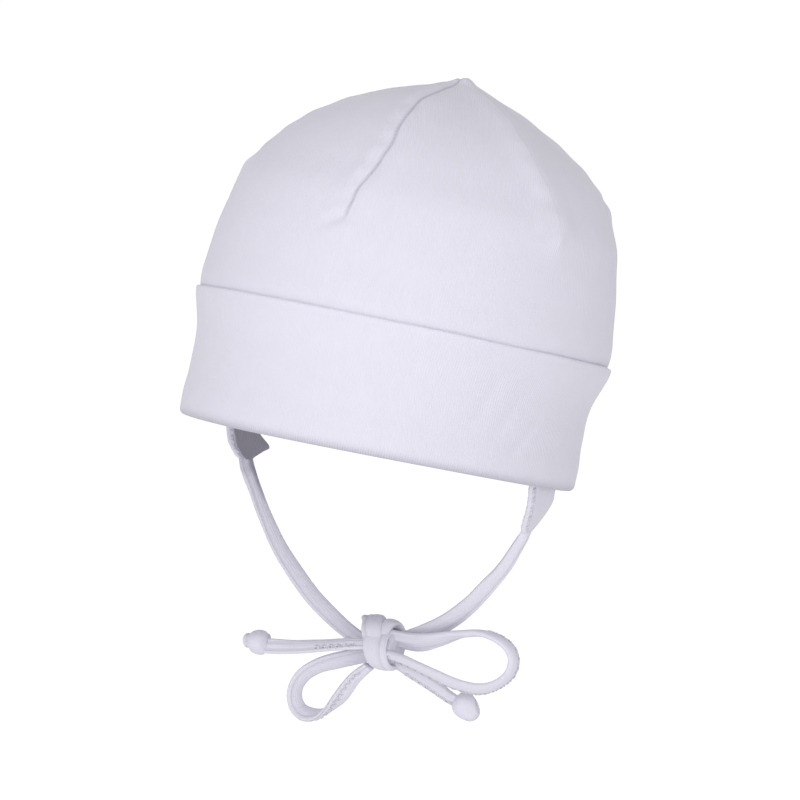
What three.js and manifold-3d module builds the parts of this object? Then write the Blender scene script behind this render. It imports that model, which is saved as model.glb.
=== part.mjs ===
// A baby's nightcap of white cotton jersey: a domed crown closed by six darts, a turned-up cuff,
// an ear tab on each side and a pair of flat ties knotted in a bow under the chin.
// Millimetres, +Z up, the face side towards -Y and the wearer's left towards +X.
// The origin is the inside of the crown's top, where the cap sits on the head.

import * as THREE from 'three'
import { mergeVertices } from 'three/addons/utils/BufferGeometryUtils.js'
import Module from 'manifold-3d'

const wasm = await Module()
wasm.setup()

// Driving dimensions
const TILT_BACK = 19
const PIECE_GAP = 0.3

const CROWN_WALL = 1.6
const CUFF_LEG_WALL = 1.6
const CUFF_FOLD_WALL = 2.9
const CUFF_INNER_LEG_HEIGHT = 20
const HEAD_WIDTH_FACTOR = 0.985
const HEAD_LENGTH_FACTOR = 1.02

// A panel neither rises nor sinks where the square of its place between two darts is this.
const GORE_LEVEL_SHARE = 0.6

const COLUMNS_PER_GORE = 10
const SEAM_CROWDING = 0.1
const STEPS_PER_CROWN_ROW = 2
const CROWN_INNER_STEPS = 10
const LOOP_STEPS_PER_ROW = 2
const TAIL_STEPS_PER_ROW = 3

const DART_VALLEY_DEPTH = 0.9
const DART_VALLEY_HALF_WIDTH = 1.4
const DART_PUFF_HEIGHT = 0.6
const DART_PUFF_OFFSET = 4.5
const DART_PUFF_HALF_WIDTH = 3
const DART_FADE_LENGTH = 14
const DART_END_BUMP_RADIUS = 9

const TAB_WALL = 1.6
const TAB_FRONT_ANGLE = 88
const TAB_OUTER_RADIUS = 69.8
const TAB_COLUMNS = 5

const BAND_THICKNESS = 2.4
const BAND_SECTION_SIDES = 8
const BAND_SECTION_SQUARENESS = 0.7

const SAME_POINT = 1e-4

const BOW_CENTRE = { x: 1.2, y: -52, z: -204.7 }
const BOW_TURN = 6

// Crown, from the hem hidden behind the cuff up to the tip. height is above the cuff's lower
// fold, back is how far the section leans towards the nape, gore how far a panel flattens
// between two darts.
const CROWN_ROWS = [
  { height: 20.4, radius: 71.2, back: 0, gore: 0 },
  { height: 30, radius: 71.4, back: 0, gore: 0 },
  { height: 40, radius: 73.2, back: 0.9, gore: 0 },
  { height: 50, radius: 74.9, back: 1.3, gore: 0 },
  { height: 60, radius: 75.3, back: 1.4, gore: 0 },
  { height: 70, radius: 74.5, back: 1.5, gore: 0 },
  { height: 80, radius: 72.5, back: 1.8, gore: 0.2 },
  { height: 90, radius: 70, back: 2.7, gore: 0.7 },
  { height: 99, radius: 64.9, back: 3.2, gore: 1.3 },
  { height: 107, radius: 59.4, back: 3.6, gore: 1.7 },
  { height: 115, radius: 51.6, back: 3.6, gore: 1.9 },
  { height: 122, radius: 41.9, back: 3.2, gore: 1.7 },
  { height: 128.5, radius: 30.5, back: 3.2, gore: 1.2 },
  { height: 133.5, radius: 18.6, back: 4.6, gore: 0.7 },
  { height: 137, radius: 8.6, back: 5.6, gore: 0.3 },
  { height: 139.2, radius: 0, back: 5.8, gore: 0 },
]

// Darts, by the angle from the front towards the wearer's left. end is the height of the
// lower end above the cuff's fold and bump how far the cloth stands out there.
const DARTS = [
  { angle: 14, end: 80, bump: 0.5 },
  { angle: 77, end: 88, bump: 0.8 },
  { angle: 128, end: 105, bump: 1.4 },
  { angle: 190, end: 90, bump: 0.6 },
  { angle: 250, end: 86, bump: 0.7 },
  { angle: 313, end: 96, bump: 0.9 },
]

// Cuff, outer face from the lower fold up to the upper one.
const CUFF_ROWS = [
  { height: 0.8, radius: 72.9, back: 0 },
  { height: 3.2, radius: 73.7, back: 0 },
  { height: 9, radius: 73.7, back: 0 },
  { height: 15, radius: 73.3, back: 0 },
  { height: 21, radius: 73.2, back: 0 },
  { height: 27, radius: 73.2, back: 0 },
  { height: 33, radius: 73.9, back: 0.4 },
  { height: 39, radius: 75.5, back: 1 },
  { height: 44, radius: 77, back: 1.4 },
  { height: 47, radius: 77.6, back: 1.5 },
]
const CUFF_TOP = 48.2
const CUFF_WAIST_RADIUS = 73.2

// Round of the cuff's two folds, inward from the face as a share of the wall.
const UPPER_FOLD_ROWS = [
  { inward: 0.3, drop: 0 },
  { inward: 0.8, drop: 0.2 },
]
const LOWER_FOLD_ROWS = [
  { inward: 0.7, height: 0.3 },
  { inward: 0.4, height: 0 },
]

// The rim rises a little above the left cheek, up to a height above the fold, and the upper
// fold droops away from its highest place, from a height upwards.
const RIM_LIFT = { angle: 52, spread: 60, height: 1.6, upTo: 18 }
const UPPER_FOLD_DROOP = { highAngle: 38, height: 1.4, from: 24 }

// Ear tabs, by the drop below the cuff's lower fold. front and rear are a tab's edges, measured
// backwards round the rim, and inward how far it hangs in towards the neck.
const LEFT_TAB_ROWS = [
  { drop: -14, front: 3, rear: 23.6, inward: 0 },
  { drop: -5, front: 3, rear: 24, inward: 0 },
  { drop: 0, front: 3.6, rear: 24.4, inward: 0.2 },
  { drop: 3.6, front: 4.8, rear: 25.6, inward: 0.4 },
  { drop: 7.8, front: 6, rear: 21.8, inward: 0.9 },
  { drop: 11.4, front: 6.6, rear: 18, inward: 1.5 },
  { drop: 14.4, front: 7.2, rear: 14.8, inward: 2 },
  { drop: 16, front: 9, rear: 13, inward: 2.3 },
]
const RIGHT_TAB_ROWS = [
  { drop: -14, front: -2, rear: 16.8, inward: 0 },
  { drop: -5, front: -2, rear: 16.8, inward: 0 },
  { drop: 0, front: -2, rear: 16.6, inward: 0.2 },
  { drop: 4, front: -1.4, rear: 17.2, inward: 0.4 },
  { drop: 9, front: 0.4, rear: 22.4, inward: 0.8 },
  { drop: 11.4, front: 2.6, rear: 19.4, inward: 1.2 },
  { drop: 13.8, front: 5.8, rear: 16, inward: 1.7 },
  { drop: 15, front: 8, rear: 14, inward: 2 },
]

// Ties, from the origin. x, y and z are the middle of a section, width its breadth, and turn
// how far its flat face is turned about the band's run from facing forward.
const LEFT_STRAP_ROWS = [
  { x: 65.6, y: -47.9, z: -147.1, width: 5.2, turn: -50 },
  { x: 62.8, y: -47.9, z: -151.5, width: 5.4, turn: -50 },
  { x: 56.6, y: -47.7, z: -161, width: 5.8, turn: -46 },
  { x: 49.2, y: -47.4, z: -169.7, width: 6.2, turn: -42 },
  { x: 41.8, y: -47, z: -178.1, width: 6.6, turn: -36 },
  { x: 34.2, y: -46.5, z: -185.3, width: 6.9, turn: -28 },
  { x: 26.4, y: -46, z: -191.3, width: 6.9, turn: -20 },
  { x: 18.9, y: -45.6, z: -195.8, width: 6.5, turn: -14 },
  { x: 11.5, y: -45.2, z: -199.8, width: 6, turn: -10 },
  { x: 3, y: -44.9, z: -204.1, width: 5.4, turn: -10 },
]

const RIGHT_STRAP_ROWS = [
  { x: -65, y: -48.6, z: -145.8, width: 5.6, turn: 20 },
  { x: -62.8, y: -48.5, z: -150.3, width: 5.8, turn: 20 },
  { x: -59.8, y: -48.3, z: -156.7, width: 6, turn: 20 },
  { x: -56, y: -48, z: -164.8, width: 6, turn: 20 },
  { x: -49.6, y: -47.6, z: -176.5, width: 6, turn: 20 },
  { x: -42.2, y: -47, z: -185.7, width: 6, turn: 20 },
  { x: -34.8, y: -46.5, z: -193.3, width: 6, turn: 20 },
  { x: -27.4, y: -46.1, z: -198.7, width: 6, turn: 18 },
  { x: -19.4, y: -45.6, z: -203.4, width: 5.8, turn: 14 },
  { x: -12.4, y: -45.3, z: -206.1, width: 5.6, turn: 10 },
  { x: -4, y: -45.1, z: -207.7, width: 5.2, turn: 10 },
]

// Bow, from the middle of its knot: x towards the wearer's left, y backwards, z up.
const LEFT_LOOP_ROWS = [
  { x: 3, y: 2, z: 5.4, width: 5.6, turn: 20 },
  { x: 12, y: 1.4, z: 5.8, width: 6.4, turn: 20 },
  { x: 19, y: 0.8, z: 7, width: 6.8, turn: 24 },
  { x: 27, y: 0.2, z: 9.9, width: 6.6, turn: 38 },
  { x: 35.5, y: -0.2, z: 13.3, width: 6.2, turn: 56 },
  { x: 45.2, y: -0.6, z: 15.8, width: 6, turn: 72 },
  { x: 52.6, y: -0.8, z: 15.3, width: 6, turn: 82 },
  { x: 57.5, y: -0.8, z: 12.6, width: 6, turn: 90 },
  { x: 59.2, y: -0.8, z: 8.2, width: 6, turn: 98 },
  { x: 57.9, y: -1, z: 3, width: 6, turn: 106 },
  { x: 54.2, y: -1.4, z: -1.2, width: 6, turn: 112 },
  { x: 49, y: -1.8, z: -4.3, width: 6, turn: 118 },
  { x: 43.2, y: -2.2, z: -5.8, width: 6, turn: 122 },
  { x: 35, y: -2.6, z: -5.5, width: 5.8, turn: 122 },
  { x: 27, y: -2.9, z: -4, width: 5.4, turn: 120 },
  { x: 19.5, y: -3.1, z: -2.2, width: 5, turn: 118 },
  { x: 12.5, y: -3.2, z: -0.8, width: 4.6, turn: 116 },
  { x: 3, y: -3, z: -0.4, width: 4.2, turn: 114 },
]

const RIGHT_LOOP_ROWS = [
  { x: -2, y: 2.4, z: -2.8, width: 5, turn: -16 },
  { x: -11, y: 2.4, z: -6.2, width: 6.2, turn: -16 },
  { x: -20, y: 2, z: -9.8, width: 6.6, turn: -20 },
  { x: -27.5, y: 1.6, z: -13.3, width: 6.6, turn: -30 },
  { x: -33.6, y: 1.2, z: -17.9, width: 6.4, turn: -42 },
  { x: -37.2, y: 0.8, z: -23.2, width: 6.4, turn: -54 },
  { x: -37.8, y: 0.4, z: -28.4, width: 6.4, turn: -66 },
  { x: -35.6, y: 0, z: -32.2, width: 6.6, turn: -78 },
  { x: -31.4, y: -0.4, z: -33.6, width: 6.6, turn: -92 },
  { x: -26, y: -0.8, z: -32.3, width: 6.6, turn: -108 },
  { x: -20.8, y: -1.2, z: -28.4, width: 6.6, turn: -124 },
  { x: -16, y: -1.8, z: -23, width: 6.4, turn: -136 },
  { x: -11.6, y: -2.4, z: -17, width: 6, turn: -140 },
  { x: -7.2, y: -2.8, z: -11.4, width: 5.2, turn: -138 },
  { x: -1.5, y: -3, z: -6, width: 4.4, turn: -134 },
]

const LEFT_TAIL_ROWS = [
  { x: 2.5, y: 3.4, z: -4.6, width: 4.8, turn: 50 },
  { x: 10, y: 3.8, z: -6.8, width: 5.2, turn: 50 },
  { x: 17, y: 4, z: -8.9, width: 5.4, turn: 48 },
  { x: 24.4, y: 4, z: -11.1, width: 5.4, turn: 46 },
  { x: 31, y: 3.8, z: -13.3, width: 5.2, turn: 46 },
  { x: 35.6, y: 3.6, z: -15.4, width: 4.8, turn: 46 },
]

const RIGHT_TAIL_ROWS = [
  { x: -2, y: -2.8, z: 2.6, width: 4.6, turn: 46 },
  { x: -12, y: -3.2, z: 0, width: 4.8, turn: 46 },
  { x: -24.6, y: -3.4, z: -3.4, width: 5.2, turn: 44 },
  { x: -36, y: -3.4, z: -6.2, width: 5.6, turn: 38 },
  { x: -46, y: -3.4, z: -8, width: 6, turn: 30 },
  { x: -52, y: -3.2, z: -8.2, width: 5.4, turn: 28 },
]

// Bow knot: the turn of tie round the middle, the two lumps above it and the back that the
// straps run into, as rounded bodies by centre and half size.
const BOW_KNOT_LUMPS = [
  { x: 1.4, y: 0, z: 0, halfWidth: 5.6, halfDepth: 6.4, halfHeight: 8.4, lean: -11 },
  { x: -3.2, y: 3.4, z: 6.4, halfWidth: 5.6, halfDepth: 4.6, halfHeight: 4.6, lean: -30 },
  { x: 4.4, y: 3.4, z: 6.8, halfWidth: 4.4, halfDepth: 4.6, halfHeight: 4.6, lean: 20 },
  { x: 0.4, y: 6.4, z: 0.4, halfWidth: 6.4, halfDepth: 4.6, halfHeight: 6.2, lean: 0 },
]
const LUMP_SIDES = 12
const LUMP_RINGS = 8

// Overhand knot at a tie's end, as a turned outline from the tail outwards, with the cut end
// of the tie as a nub.
const TAIL_KNOT_ROWS = [
  { along: -4.6, radius: 0 },
  { along: -4.2, radius: 2.3 },
  { along: -2.4, radius: 4.1 },
  { along: 0.2, radius: 4.7 },
  { along: 2.6, radius: 4 },
  { along: 4, radius: 2.5 },
  { along: 4.6, radius: 1.9 },
  { along: 5.6, radius: 1.9 },
  { along: 6.3, radius: 1.2 },
  { along: 6.4, radius: 0 },
]
const TAIL_KNOT_SIDES = 12
const LEFT_TAIL_KNOT = { x: 36.4, y: 3.4, z: -16, run: -36 }
const RIGHT_TAIL_KNOT = { x: -52.4, y: -3.2, z: -7.6, run: 184 }

const FULL_TURN = 2 * Math.PI
const FULL_TURN_DEGREES = 360
const radians = THREE.MathUtils.degToRad
const wrapped = THREE.MathUtils.euclideanModulo

function jersey(colour) {
  return new THREE.MeshStandardMaterial({ color: colour, roughness: 0.92, metalness: 0 })
}

const CROWN_COLOUR = 0xebe9f6
const CUFF_COLOUR = 0xeceaf7
const TAB_COLOUR = 0xd9d7e4
const TIE_COLOUR = 0xe1dfec

function bell(distance, halfWidth) {
  return Math.exp(-((distance / halfWidth) ** 2))
}

// Smooth curve through a table: gives every column at any place between the first row and the last.
function readTable(rows, columns) {
  const places = rows.map((row, index) => index)
  const samples = rows.flatMap((row) => columns.map((column) => row[column]))
  const curve = new THREE.CubicInterpolant(places, samples, columns.length)
  return (place) => {
    const values = curve.evaluate(place)
    return Object.fromEntries(columns.map((column, index) => [column, values[index]]))
  }
}

function stripped(geometry) {
  geometry.deleteAttribute('normal')
  geometry.deleteAttribute('uv')
  return mergeVertices(geometry, SAME_POINT)
}

function toSolid(geometry) {
  const merged = stripped(geometry)
  const corners = merged.index.array
  const places = merged.attributes.position.array
  const faces = []
  for (let i = 0; i < corners.length; i += 3) {
    const [a, b, c] = corners.slice(i, i + 3)
    if (a !== b && b !== c && c !== a) faces.push(a, b, c)
  }
  const mesh = new wasm.Mesh({
    numProp: 3,
    vertProperties: new Float32Array(places),
    triVerts: new Uint32Array(faces),
  })
  return new wasm.Manifold(mesh)
}

function toGeometry(solid) {
  const mesh = solid.getMesh()
  const geometry = new THREE.BufferGeometry()
  geometry.setAttribute('position', new THREE.BufferAttribute(mesh.vertProperties, 3))
  geometry.setIndex(new THREE.BufferAttribute(mesh.triVerts, 1))
  geometry.computeVertexNormals()
  return geometry
}

function moveVertices(geometry, place) {
  const positions = geometry.attributes.position
  const point = new THREE.Vector3()
  for (let i = 0; i < positions.count; i += 1) {
    point.fromBufferAttribute(positions, i)
    place(point)
    positions.setXYZ(i, point.x, point.y, point.z)
  }
  positions.needsUpdate = true
  return geometry
}

// Turned shell whose columns crowd at the darts. shape gives the outward shift of a point.
function turnedShell(profile, shape) {
  const columns = DARTS.length * COLUMNS_PER_GORE
  const geometry = new THREE.LatheGeometry(profile, columns)
  geometry.rotateX(Math.PI / 2)
  return moveVertices(geometry, (point) => {
    const radius = Math.hypot(point.x, point.y)
    if (radius < SAME_POINT) {
      shape(point, 0, 0)
      return
    }
    const turn = wrapped(Math.atan2(point.x, -point.y), FULL_TURN)
    const column = Math.round((turn / FULL_TURN) * columns) % columns
    shape(point, radius, columnAngle(column))
  })
}

// Degrees from a dart to the next one.
function goreWidth(gore) {
  const next = DARTS[(gore + 1) % DARTS.length]
  return wrapped(next.angle - DARTS[gore].angle, FULL_TURN_DEGREES)
}

// Angle of a column, in degrees from the front towards the wearer's left.
function columnAngle(column) {
  const gore = Math.floor(column / COLUMNS_PER_GORE)
  const share = (column % COLUMNS_PER_GORE) / COLUMNS_PER_GORE
  const crowded = share - SEAM_CROWDING * Math.sin(FULL_TURN * share)
  return DARTS[gore].angle + crowded * goreWidth(gore)
}

// Difference between two angles, in degrees from minus to plus half a turn.
function angleApart(angle, other) {
  const half = FULL_TURN_DEGREES / 2
  return wrapped(angle - other + half, FULL_TURN_DEGREES) - half
}

// How far the cuff leans towards the nape, at a height.
function cuffBack(height) {
  const above = CUFF_ROWS.findIndex((row) => row.height > height)
  if (above === 0) return CUFF_ROWS[0].back
  if (above < 0) return CUFF_ROWS[CUFF_ROWS.length - 1].back
  const upper = CUFF_ROWS[above]
  const lower = CUFF_ROWS[above - 1]
  return THREE.MathUtils.mapLinear(height, lower.height, upper.height, lower.back, upper.back)
}

function onHead(point, radius, angle, back) {
  point.x = radius * HEAD_WIDTH_FACTOR * Math.sin(radians(angle))
  point.y = -radius * HEAD_LENGTH_FACTOR * Math.cos(radians(angle)) + back
}

// Outward shift of the crown's cloth at an angle and height: each dart is a narrow valley
// between two soft puffs, with a small bump at its lower end.
function dartRelief(radius, angle, height) {
  let shift = 0
  for (const dart of DARTS) {
    const across = Math.abs(radians(angleApart(angle, dart.angle))) * radius
    const above = height - dart.end
    const strength = THREE.MathUtils.smoothstep(above, 0, DART_FADE_LENGTH)
    shift -= strength * DART_VALLEY_DEPTH * bell(across, DART_VALLEY_HALF_WIDTH)
    shift += strength * DART_PUFF_HEIGHT * bell(across - DART_PUFF_OFFSET, DART_PUFF_HALF_WIDTH)
    shift += dart.bump * bell(Math.hypot(across, above), DART_END_BUMP_RADIUS)
  }
  return shift
}

// Place between two darts, from -1 on one to 1 on the next.
function acrossGore(angle) {
  for (let gore = 0; gore < DARTS.length; gore += 1) {
    const share = wrapped(angle - DARTS[gore].angle, FULL_TURN_DEGREES) / goreWidth(gore)
    if (share <= 1) return 2 * share - 1
  }
  return 0
}

// Sections of the crown's wall: down its inner face from the tip to the hem and up its outer
// face. out and up point straight out of the cloth, and depth is how far in the section lies.
function crownSections() {
  const last = CROWN_ROWS.length - 1
  const nearby = 0.01
  const rowAt = readTable(CROWN_ROWS, ['height', 'radius', 'back', 'gore'])
  const section = (place, depth) => {
    const above = rowAt(Math.min(place + nearby, last))
    const below = rowAt(Math.max(place - nearby, 0))
    const rise = above.height - below.height
    const spread = above.radius - below.radius
    const length = Math.hypot(rise, spread)
    return { row: rowAt(place), depth, out: rise / length, up: -spread / length }
  }
  const sections = []
  for (let step = CROWN_INNER_STEPS; step >= 0; step -= 1) {
    sections.push(section((last * step) / CROWN_INNER_STEPS, CROWN_WALL))
  }
  for (let step = 0; step <= last * STEPS_PER_CROWN_ROW; step += 1) {
    sections.push(section(step / STEPS_PER_CROWN_ROW, 0))
  }
  return sections
}

function crownGeometry() {
  const sections = crownSections()
  // The profile that is turned only carries each section's number, in its height.
  const profile = sections.map((section, index) => {
    const onAxis = index === 0 || index === sections.length - 1
    return new THREE.Vector2(onAxis ? 0 : 1, index)
  })
  return turnedShell(profile, (point, radius, angle) => {
    const { row, depth, out, up } = sections[Math.round(point.z)]
    if (radius === 0) {
      onHead(point, 0, angle, row.back)
      point.z = row.height - depth
      return
    }
    const flat = row.gore * (acrossGore(angle) ** 2 - GORE_LEVEL_SHARE)
    const shift = dartRelief(row.radius, angle, row.height) + flat - depth
    onHead(point, row.radius + shift * out, angle, row.back)
    point.z = row.height + shift * up
  })
}

// Outline of the cuff's wall, once round: up its face, over the upper fold, down the inside of
// the turned-up leg, across the hem inside, down to the lower fold and round it.
function cuffProfile() {
  const at = (radius, height) => new THREE.Vector2(radius, height)
  const topRadius = CUFF_ROWS[CUFF_ROWS.length - 1].radius
  const innerRadius = CUFF_WAIST_RADIUS - CUFF_FOLD_WALL
  const legRows = CUFF_ROWS.filter((row) => row.height > CUFF_INNER_LEG_HEIGHT).reverse()
  return [
    ...CUFF_ROWS.map((row) => at(row.radius, row.height)),
    ...UPPER_FOLD_ROWS.map((row) => at(topRadius - CUFF_LEG_WALL * row.inward, CUFF_TOP - row.drop)),
    ...legRows.map((row) => at(row.radius - CUFF_LEG_WALL, row.height)),
    at(CUFF_WAIST_RADIUS - CUFF_LEG_WALL, CUFF_INNER_LEG_HEIGHT),
    at(innerRadius, CUFF_INNER_LEG_HEIGHT),
    at(innerRadius, CUFF_INNER_LEG_HEIGHT / 2),
    at(innerRadius, CUFF_FOLD_WALL / 2),
    ...LOWER_FOLD_ROWS.map((row) => at(CUFF_WAIST_RADIUS - CUFF_FOLD_WALL * row.inward, row.height)),
    at(CUFF_ROWS[0].radius, CUFF_ROWS[0].height),
  ]
}

function cuffGeometry() {
  return turnedShell(cuffProfile(), (point, radius, angle) => {
    const height = point.z
    const low = 1 - THREE.MathUtils.smoothstep(height, 0, RIM_LIFT.upTo)
    const high = THREE.MathUtils.smoothstep(height, UPPER_FOLD_DROOP.from, CUFF_TOP)
    const lift = RIM_LIFT.height * bell(angleApart(angle, RIM_LIFT.angle), RIM_LIFT.spread)
    const droop = 1 - Math.cos(radians(angle - UPPER_FOLD_DROOP.highAngle))
    onHead(point, radius, angle, cuffBack(height))
    point.z = height + low * lift - high * droop * UPPER_FOLD_DROOP.height
  })
}

function earTabGeometry(rows, side) {
  const last = rows.length - 1
  const rowAt = readTable(rows, ['drop', 'front', 'rear', 'inward'])
  const geometry = new THREE.BoxGeometry(1, 1, 1, TAB_COLUMNS, last, 1)
  moveVertices(geometry, (point) => {
    const row = rowAt((0.5 - point.y) * last)
    const along = THREE.MathUtils.lerp(row.front, row.rear, point.x + 0.5)
    const radius = TAB_OUTER_RADIUS - row.inward - (0.5 - point.z) * TAB_WALL
    const angle = TAB_FRONT_ANGLE + THREE.MathUtils.radToDeg(along / TAB_OUTER_RADIUS)
    onHead(point, radius, angle, 0)
    point.z = -row.drop
  })
  return side < 0 ? mirrored(geometry) : geometry
}

// Mirror image left for right, with its faces still pointing out.
function mirrored(geometry) {
  moveVertices(geometry, (point) => {
    point.x = -point.x
  })
  const corners = geometry.index.array
  for (let i = 0; i < corners.length; i += 3) {
    const kept = corners[i]
    corners[i] = corners[i + 1]
    corners[i + 1] = kept
  }
  return geometry
}

function bandSection() {
  const outline = []
  for (let i = 0; i < BAND_SECTION_SIDES; i += 1) {
    const turn = (FULL_TURN * (i + 0.5)) / BAND_SECTION_SIDES
    const c = Math.cos(turn)
    const s = Math.sin(turn)
    const x = 0.5 * Math.sign(c) * Math.abs(c) ** BAND_SECTION_SQUARENESS
    const y = 0.5 * Math.sign(s) * Math.abs(s) ** BAND_SECTION_SQUARENESS
    outline.push(new THREE.Vector2(x, y))
  }
  return new THREE.Shape(outline)
}

// Flat tie along a table of sections.
function bandGeometry(rows, stepsPerRow) {
  const last = rows.length - 1
  const curve = new THREE.CatmullRomCurve3(rows.map((row) => new THREE.Vector3(row.x, row.y, row.z)))
  const rowAt = readTable(rows, ['width', 'turn'])
  const geometry = new THREE.ExtrudeGeometry(bandSection(), {
    depth: 1,
    steps: last * stepsPerRow,
    bevelEnabled: false,
  })
  const forward = new THREE.Vector3(0, -1, 0)
  return moveVertices(geometry, (point) => {
    const share = point.z
    const { width, turn } = rowAt(share * last)
    const middle = curve.getPoint(share)
    const run = curve.getTangent(share)
    const facing = forward.clone().addScaledVector(run, -forward.dot(run)).normalize()
    facing.applyAxisAngle(run, radians(turn))
    const across = new THREE.Vector3().crossVectors(facing, run)
    middle.addScaledVector(across, point.x * width)
    middle.addScaledVector(facing, point.y * BAND_THICKNESS)
    point.copy(middle)
  })
}

function bowKnotSolid(grow) {
  const lumps = BOW_KNOT_LUMPS.map((lump) => {
    const geometry = new THREE.SphereGeometry(1, LUMP_SIDES, LUMP_RINGS)
    geometry.rotateX(Math.PI / 2)
    geometry.scale(lump.halfWidth + grow, lump.halfDepth + grow, lump.halfHeight + grow)
    geometry.rotateY(radians(lump.lean))
    geometry.translate(lump.x, lump.y, lump.z)
    return toSolid(geometry)
  })
  return lumps.reduce((whole, lump) => whole.add(lump))
}

function tailKnotGeometry(knot, grow) {
  const profile = TAIL_KNOT_ROWS.map((row) => {
    const along = row.along < 0 ? row.along - grow : row.along
    return new THREE.Vector2(row.radius === 0 ? 0 : row.radius + grow, along)
  })
  const geometry = new THREE.LatheGeometry(profile, TAIL_KNOT_SIDES)
  geometry.rotateZ(-Math.PI / 2)
  geometry.rotateX(Math.PI / 2)
  geometry.rotateY(-radians(knot.run))
  geometry.translate(knot.x, knot.y, knot.z)
  return geometry
}

function named(name, geometry, colour) {
  const mesh = new THREE.Mesh(geometry, jersey(colour))
  mesh.name = name
  return mesh
}

function buildCap() {
  const cap = new THREE.Group()
  cap.add(named('crown', crownGeometry(), CROWN_COLOUR))
  cap.add(named('cuff', cuffGeometry(), CUFF_COLOUR))
  cap.add(named('ear_tab_left', earTabGeometry(LEFT_TAB_ROWS, 1), TAB_COLOUR))
  cap.add(named('ear_tab_right', earTabGeometry(RIGHT_TAB_ROWS, -1), TAB_COLOUR))
  const tip = CROWN_ROWS[CROWN_ROWS.length - 1]
  cap.position.set(0, -tip.back, CROWN_WALL - tip.height)
  const tilted = new THREE.Group()
  tilted.rotation.x = -radians(TILT_BACK)
  tilted.add(cap)
  return tilted
}

function buildBow() {
  const bow = new THREE.Group()
  const clearance = bowKnotSolid(PIECE_GAP)
  const loop = (rows) => toGeometry(toSolid(bandGeometry(rows, LOOP_STEPS_PER_ROW)).subtract(clearance))
  const tail = (rows, knot) => {
    const trimmed = toSolid(bandGeometry(rows, TAIL_STEPS_PER_ROW)).subtract(clearance)
    return toGeometry(trimmed.subtract(toSolid(tailKnotGeometry(knot, PIECE_GAP))))
  }
  bow.add(named('bow_knot', toGeometry(bowKnotSolid(0)), TIE_COLOUR))
  bow.add(named('bow_loop_left', loop(LEFT_LOOP_ROWS), TIE_COLOUR))
  bow.add(named('bow_loop_right', loop(RIGHT_LOOP_ROWS), TIE_COLOUR))
  bow.add(named('tie_tail_left', tail(LEFT_TAIL_ROWS, LEFT_TAIL_KNOT), TIE_COLOUR))
  bow.add(named('tie_tail_right', tail(RIGHT_TAIL_ROWS, RIGHT_TAIL_KNOT), TIE_COLOUR))
  bow.add(named('tail_knot_left', tailKnotGeometry(LEFT_TAIL_KNOT, 0), TIE_COLOUR))
  bow.add(named('tail_knot_right', tailKnotGeometry(RIGHT_TAIL_KNOT, 0), TIE_COLOUR))
  bow.position.set(BOW_CENTRE.x, BOW_CENTRE.y, BOW_CENTRE.z)
  bow.rotation.z = radians(BOW_TURN)
  return bow
}

// The straps run from under the ear tabs into the back of the bow's knot.
function buildStraps() {
  const knot = toGeometry(bowKnotSolid(PIECE_GAP))
  knot.rotateZ(radians(BOW_TURN))
  knot.translate(BOW_CENTRE.x, BOW_CENTRE.y, BOW_CENTRE.z)
  const clearance = toSolid(knot)
  const straps = new THREE.Group()
  const strap = (rows) => toGeometry(toSolid(bandGeometry(rows, LOOP_STEPS_PER_ROW)).subtract(clearance))
  straps.add(named('tie_strap_left', strap(LEFT_STRAP_ROWS), TIE_COLOUR))
  straps.add(named('tie_strap_right', strap(RIGHT_STRAP_ROWS), TIE_COLOUR))
  return straps
}

const nightcap = new THREE.Group()
nightcap.add(buildCap(), buildStraps(), buildBow())

export default nightcap
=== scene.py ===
"""A baby's tie-on nightcap of white cotton jersey, dressed over its fixed CAD frame.

Crown, cuff, ear tabs, ties and knots are sewn soft goods. Each is a mesh whose points follow
named sizes and short tables in millimetres, in the CAD's own frame: +Z up, the face side
towards -Y, the wearer's left towards +X, the origin inside the top of the crown.
"""

import logging
import math
from dataclasses import dataclass, field
from enum import Enum
from typing import Callable, NamedTuple, Sequence

import bpy
import numpy as np
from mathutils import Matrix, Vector, noise


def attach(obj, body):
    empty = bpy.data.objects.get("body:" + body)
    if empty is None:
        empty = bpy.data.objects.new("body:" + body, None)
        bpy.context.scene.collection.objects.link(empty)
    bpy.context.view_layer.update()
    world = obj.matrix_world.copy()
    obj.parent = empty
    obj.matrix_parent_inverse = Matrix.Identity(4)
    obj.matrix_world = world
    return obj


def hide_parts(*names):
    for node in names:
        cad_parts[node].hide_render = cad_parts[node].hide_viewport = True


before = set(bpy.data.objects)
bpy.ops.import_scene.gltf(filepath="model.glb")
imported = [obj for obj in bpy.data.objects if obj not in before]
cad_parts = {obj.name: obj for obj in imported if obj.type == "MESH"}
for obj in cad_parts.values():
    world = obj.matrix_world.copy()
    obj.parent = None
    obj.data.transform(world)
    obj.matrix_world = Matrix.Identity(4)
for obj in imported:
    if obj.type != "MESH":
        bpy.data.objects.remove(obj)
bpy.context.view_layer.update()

log = logging.getLogger("nightcap")

MM = 0.001
BODY = "root"
UV_NAME = "cloth_mm"
# Vertex attribute of painted shade: darker in creases, seams and folds and where shadows are
# painted.
PAINTED_SHADE_NAME = "crease"
STITCH_POINTS = 5


class Slot(Enum):
    """Material slots of the record that a piece takes its finish from."""

    CROWN = "crown_jersey"
    CUFF = "cuff_jersey"
    TAB = "tab_jersey"
    TIE = "tie_jersey"


class Edge(Enum):
    """Edge of a tie that carries its line of stitches, across the tie."""

    NEAR = -1
    FAR = 1


# Numbers and curves


def smoothstep(value: np.ndarray, low: float, high: float) -> np.ndarray:
    """Returns 0 below low, 1 above high and a smooth rise between them."""
    share = np.clip((value - low) / (high - low), 0.0, 1.0)
    return share * share * (3.0 - 2.0 * share)


def bell(distance: np.ndarray, half_width: float) -> np.ndarray:
    """Returns a round bump, 1 at no distance and small past half_width."""
    return np.exp(-((distance / half_width) ** 2))


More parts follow.
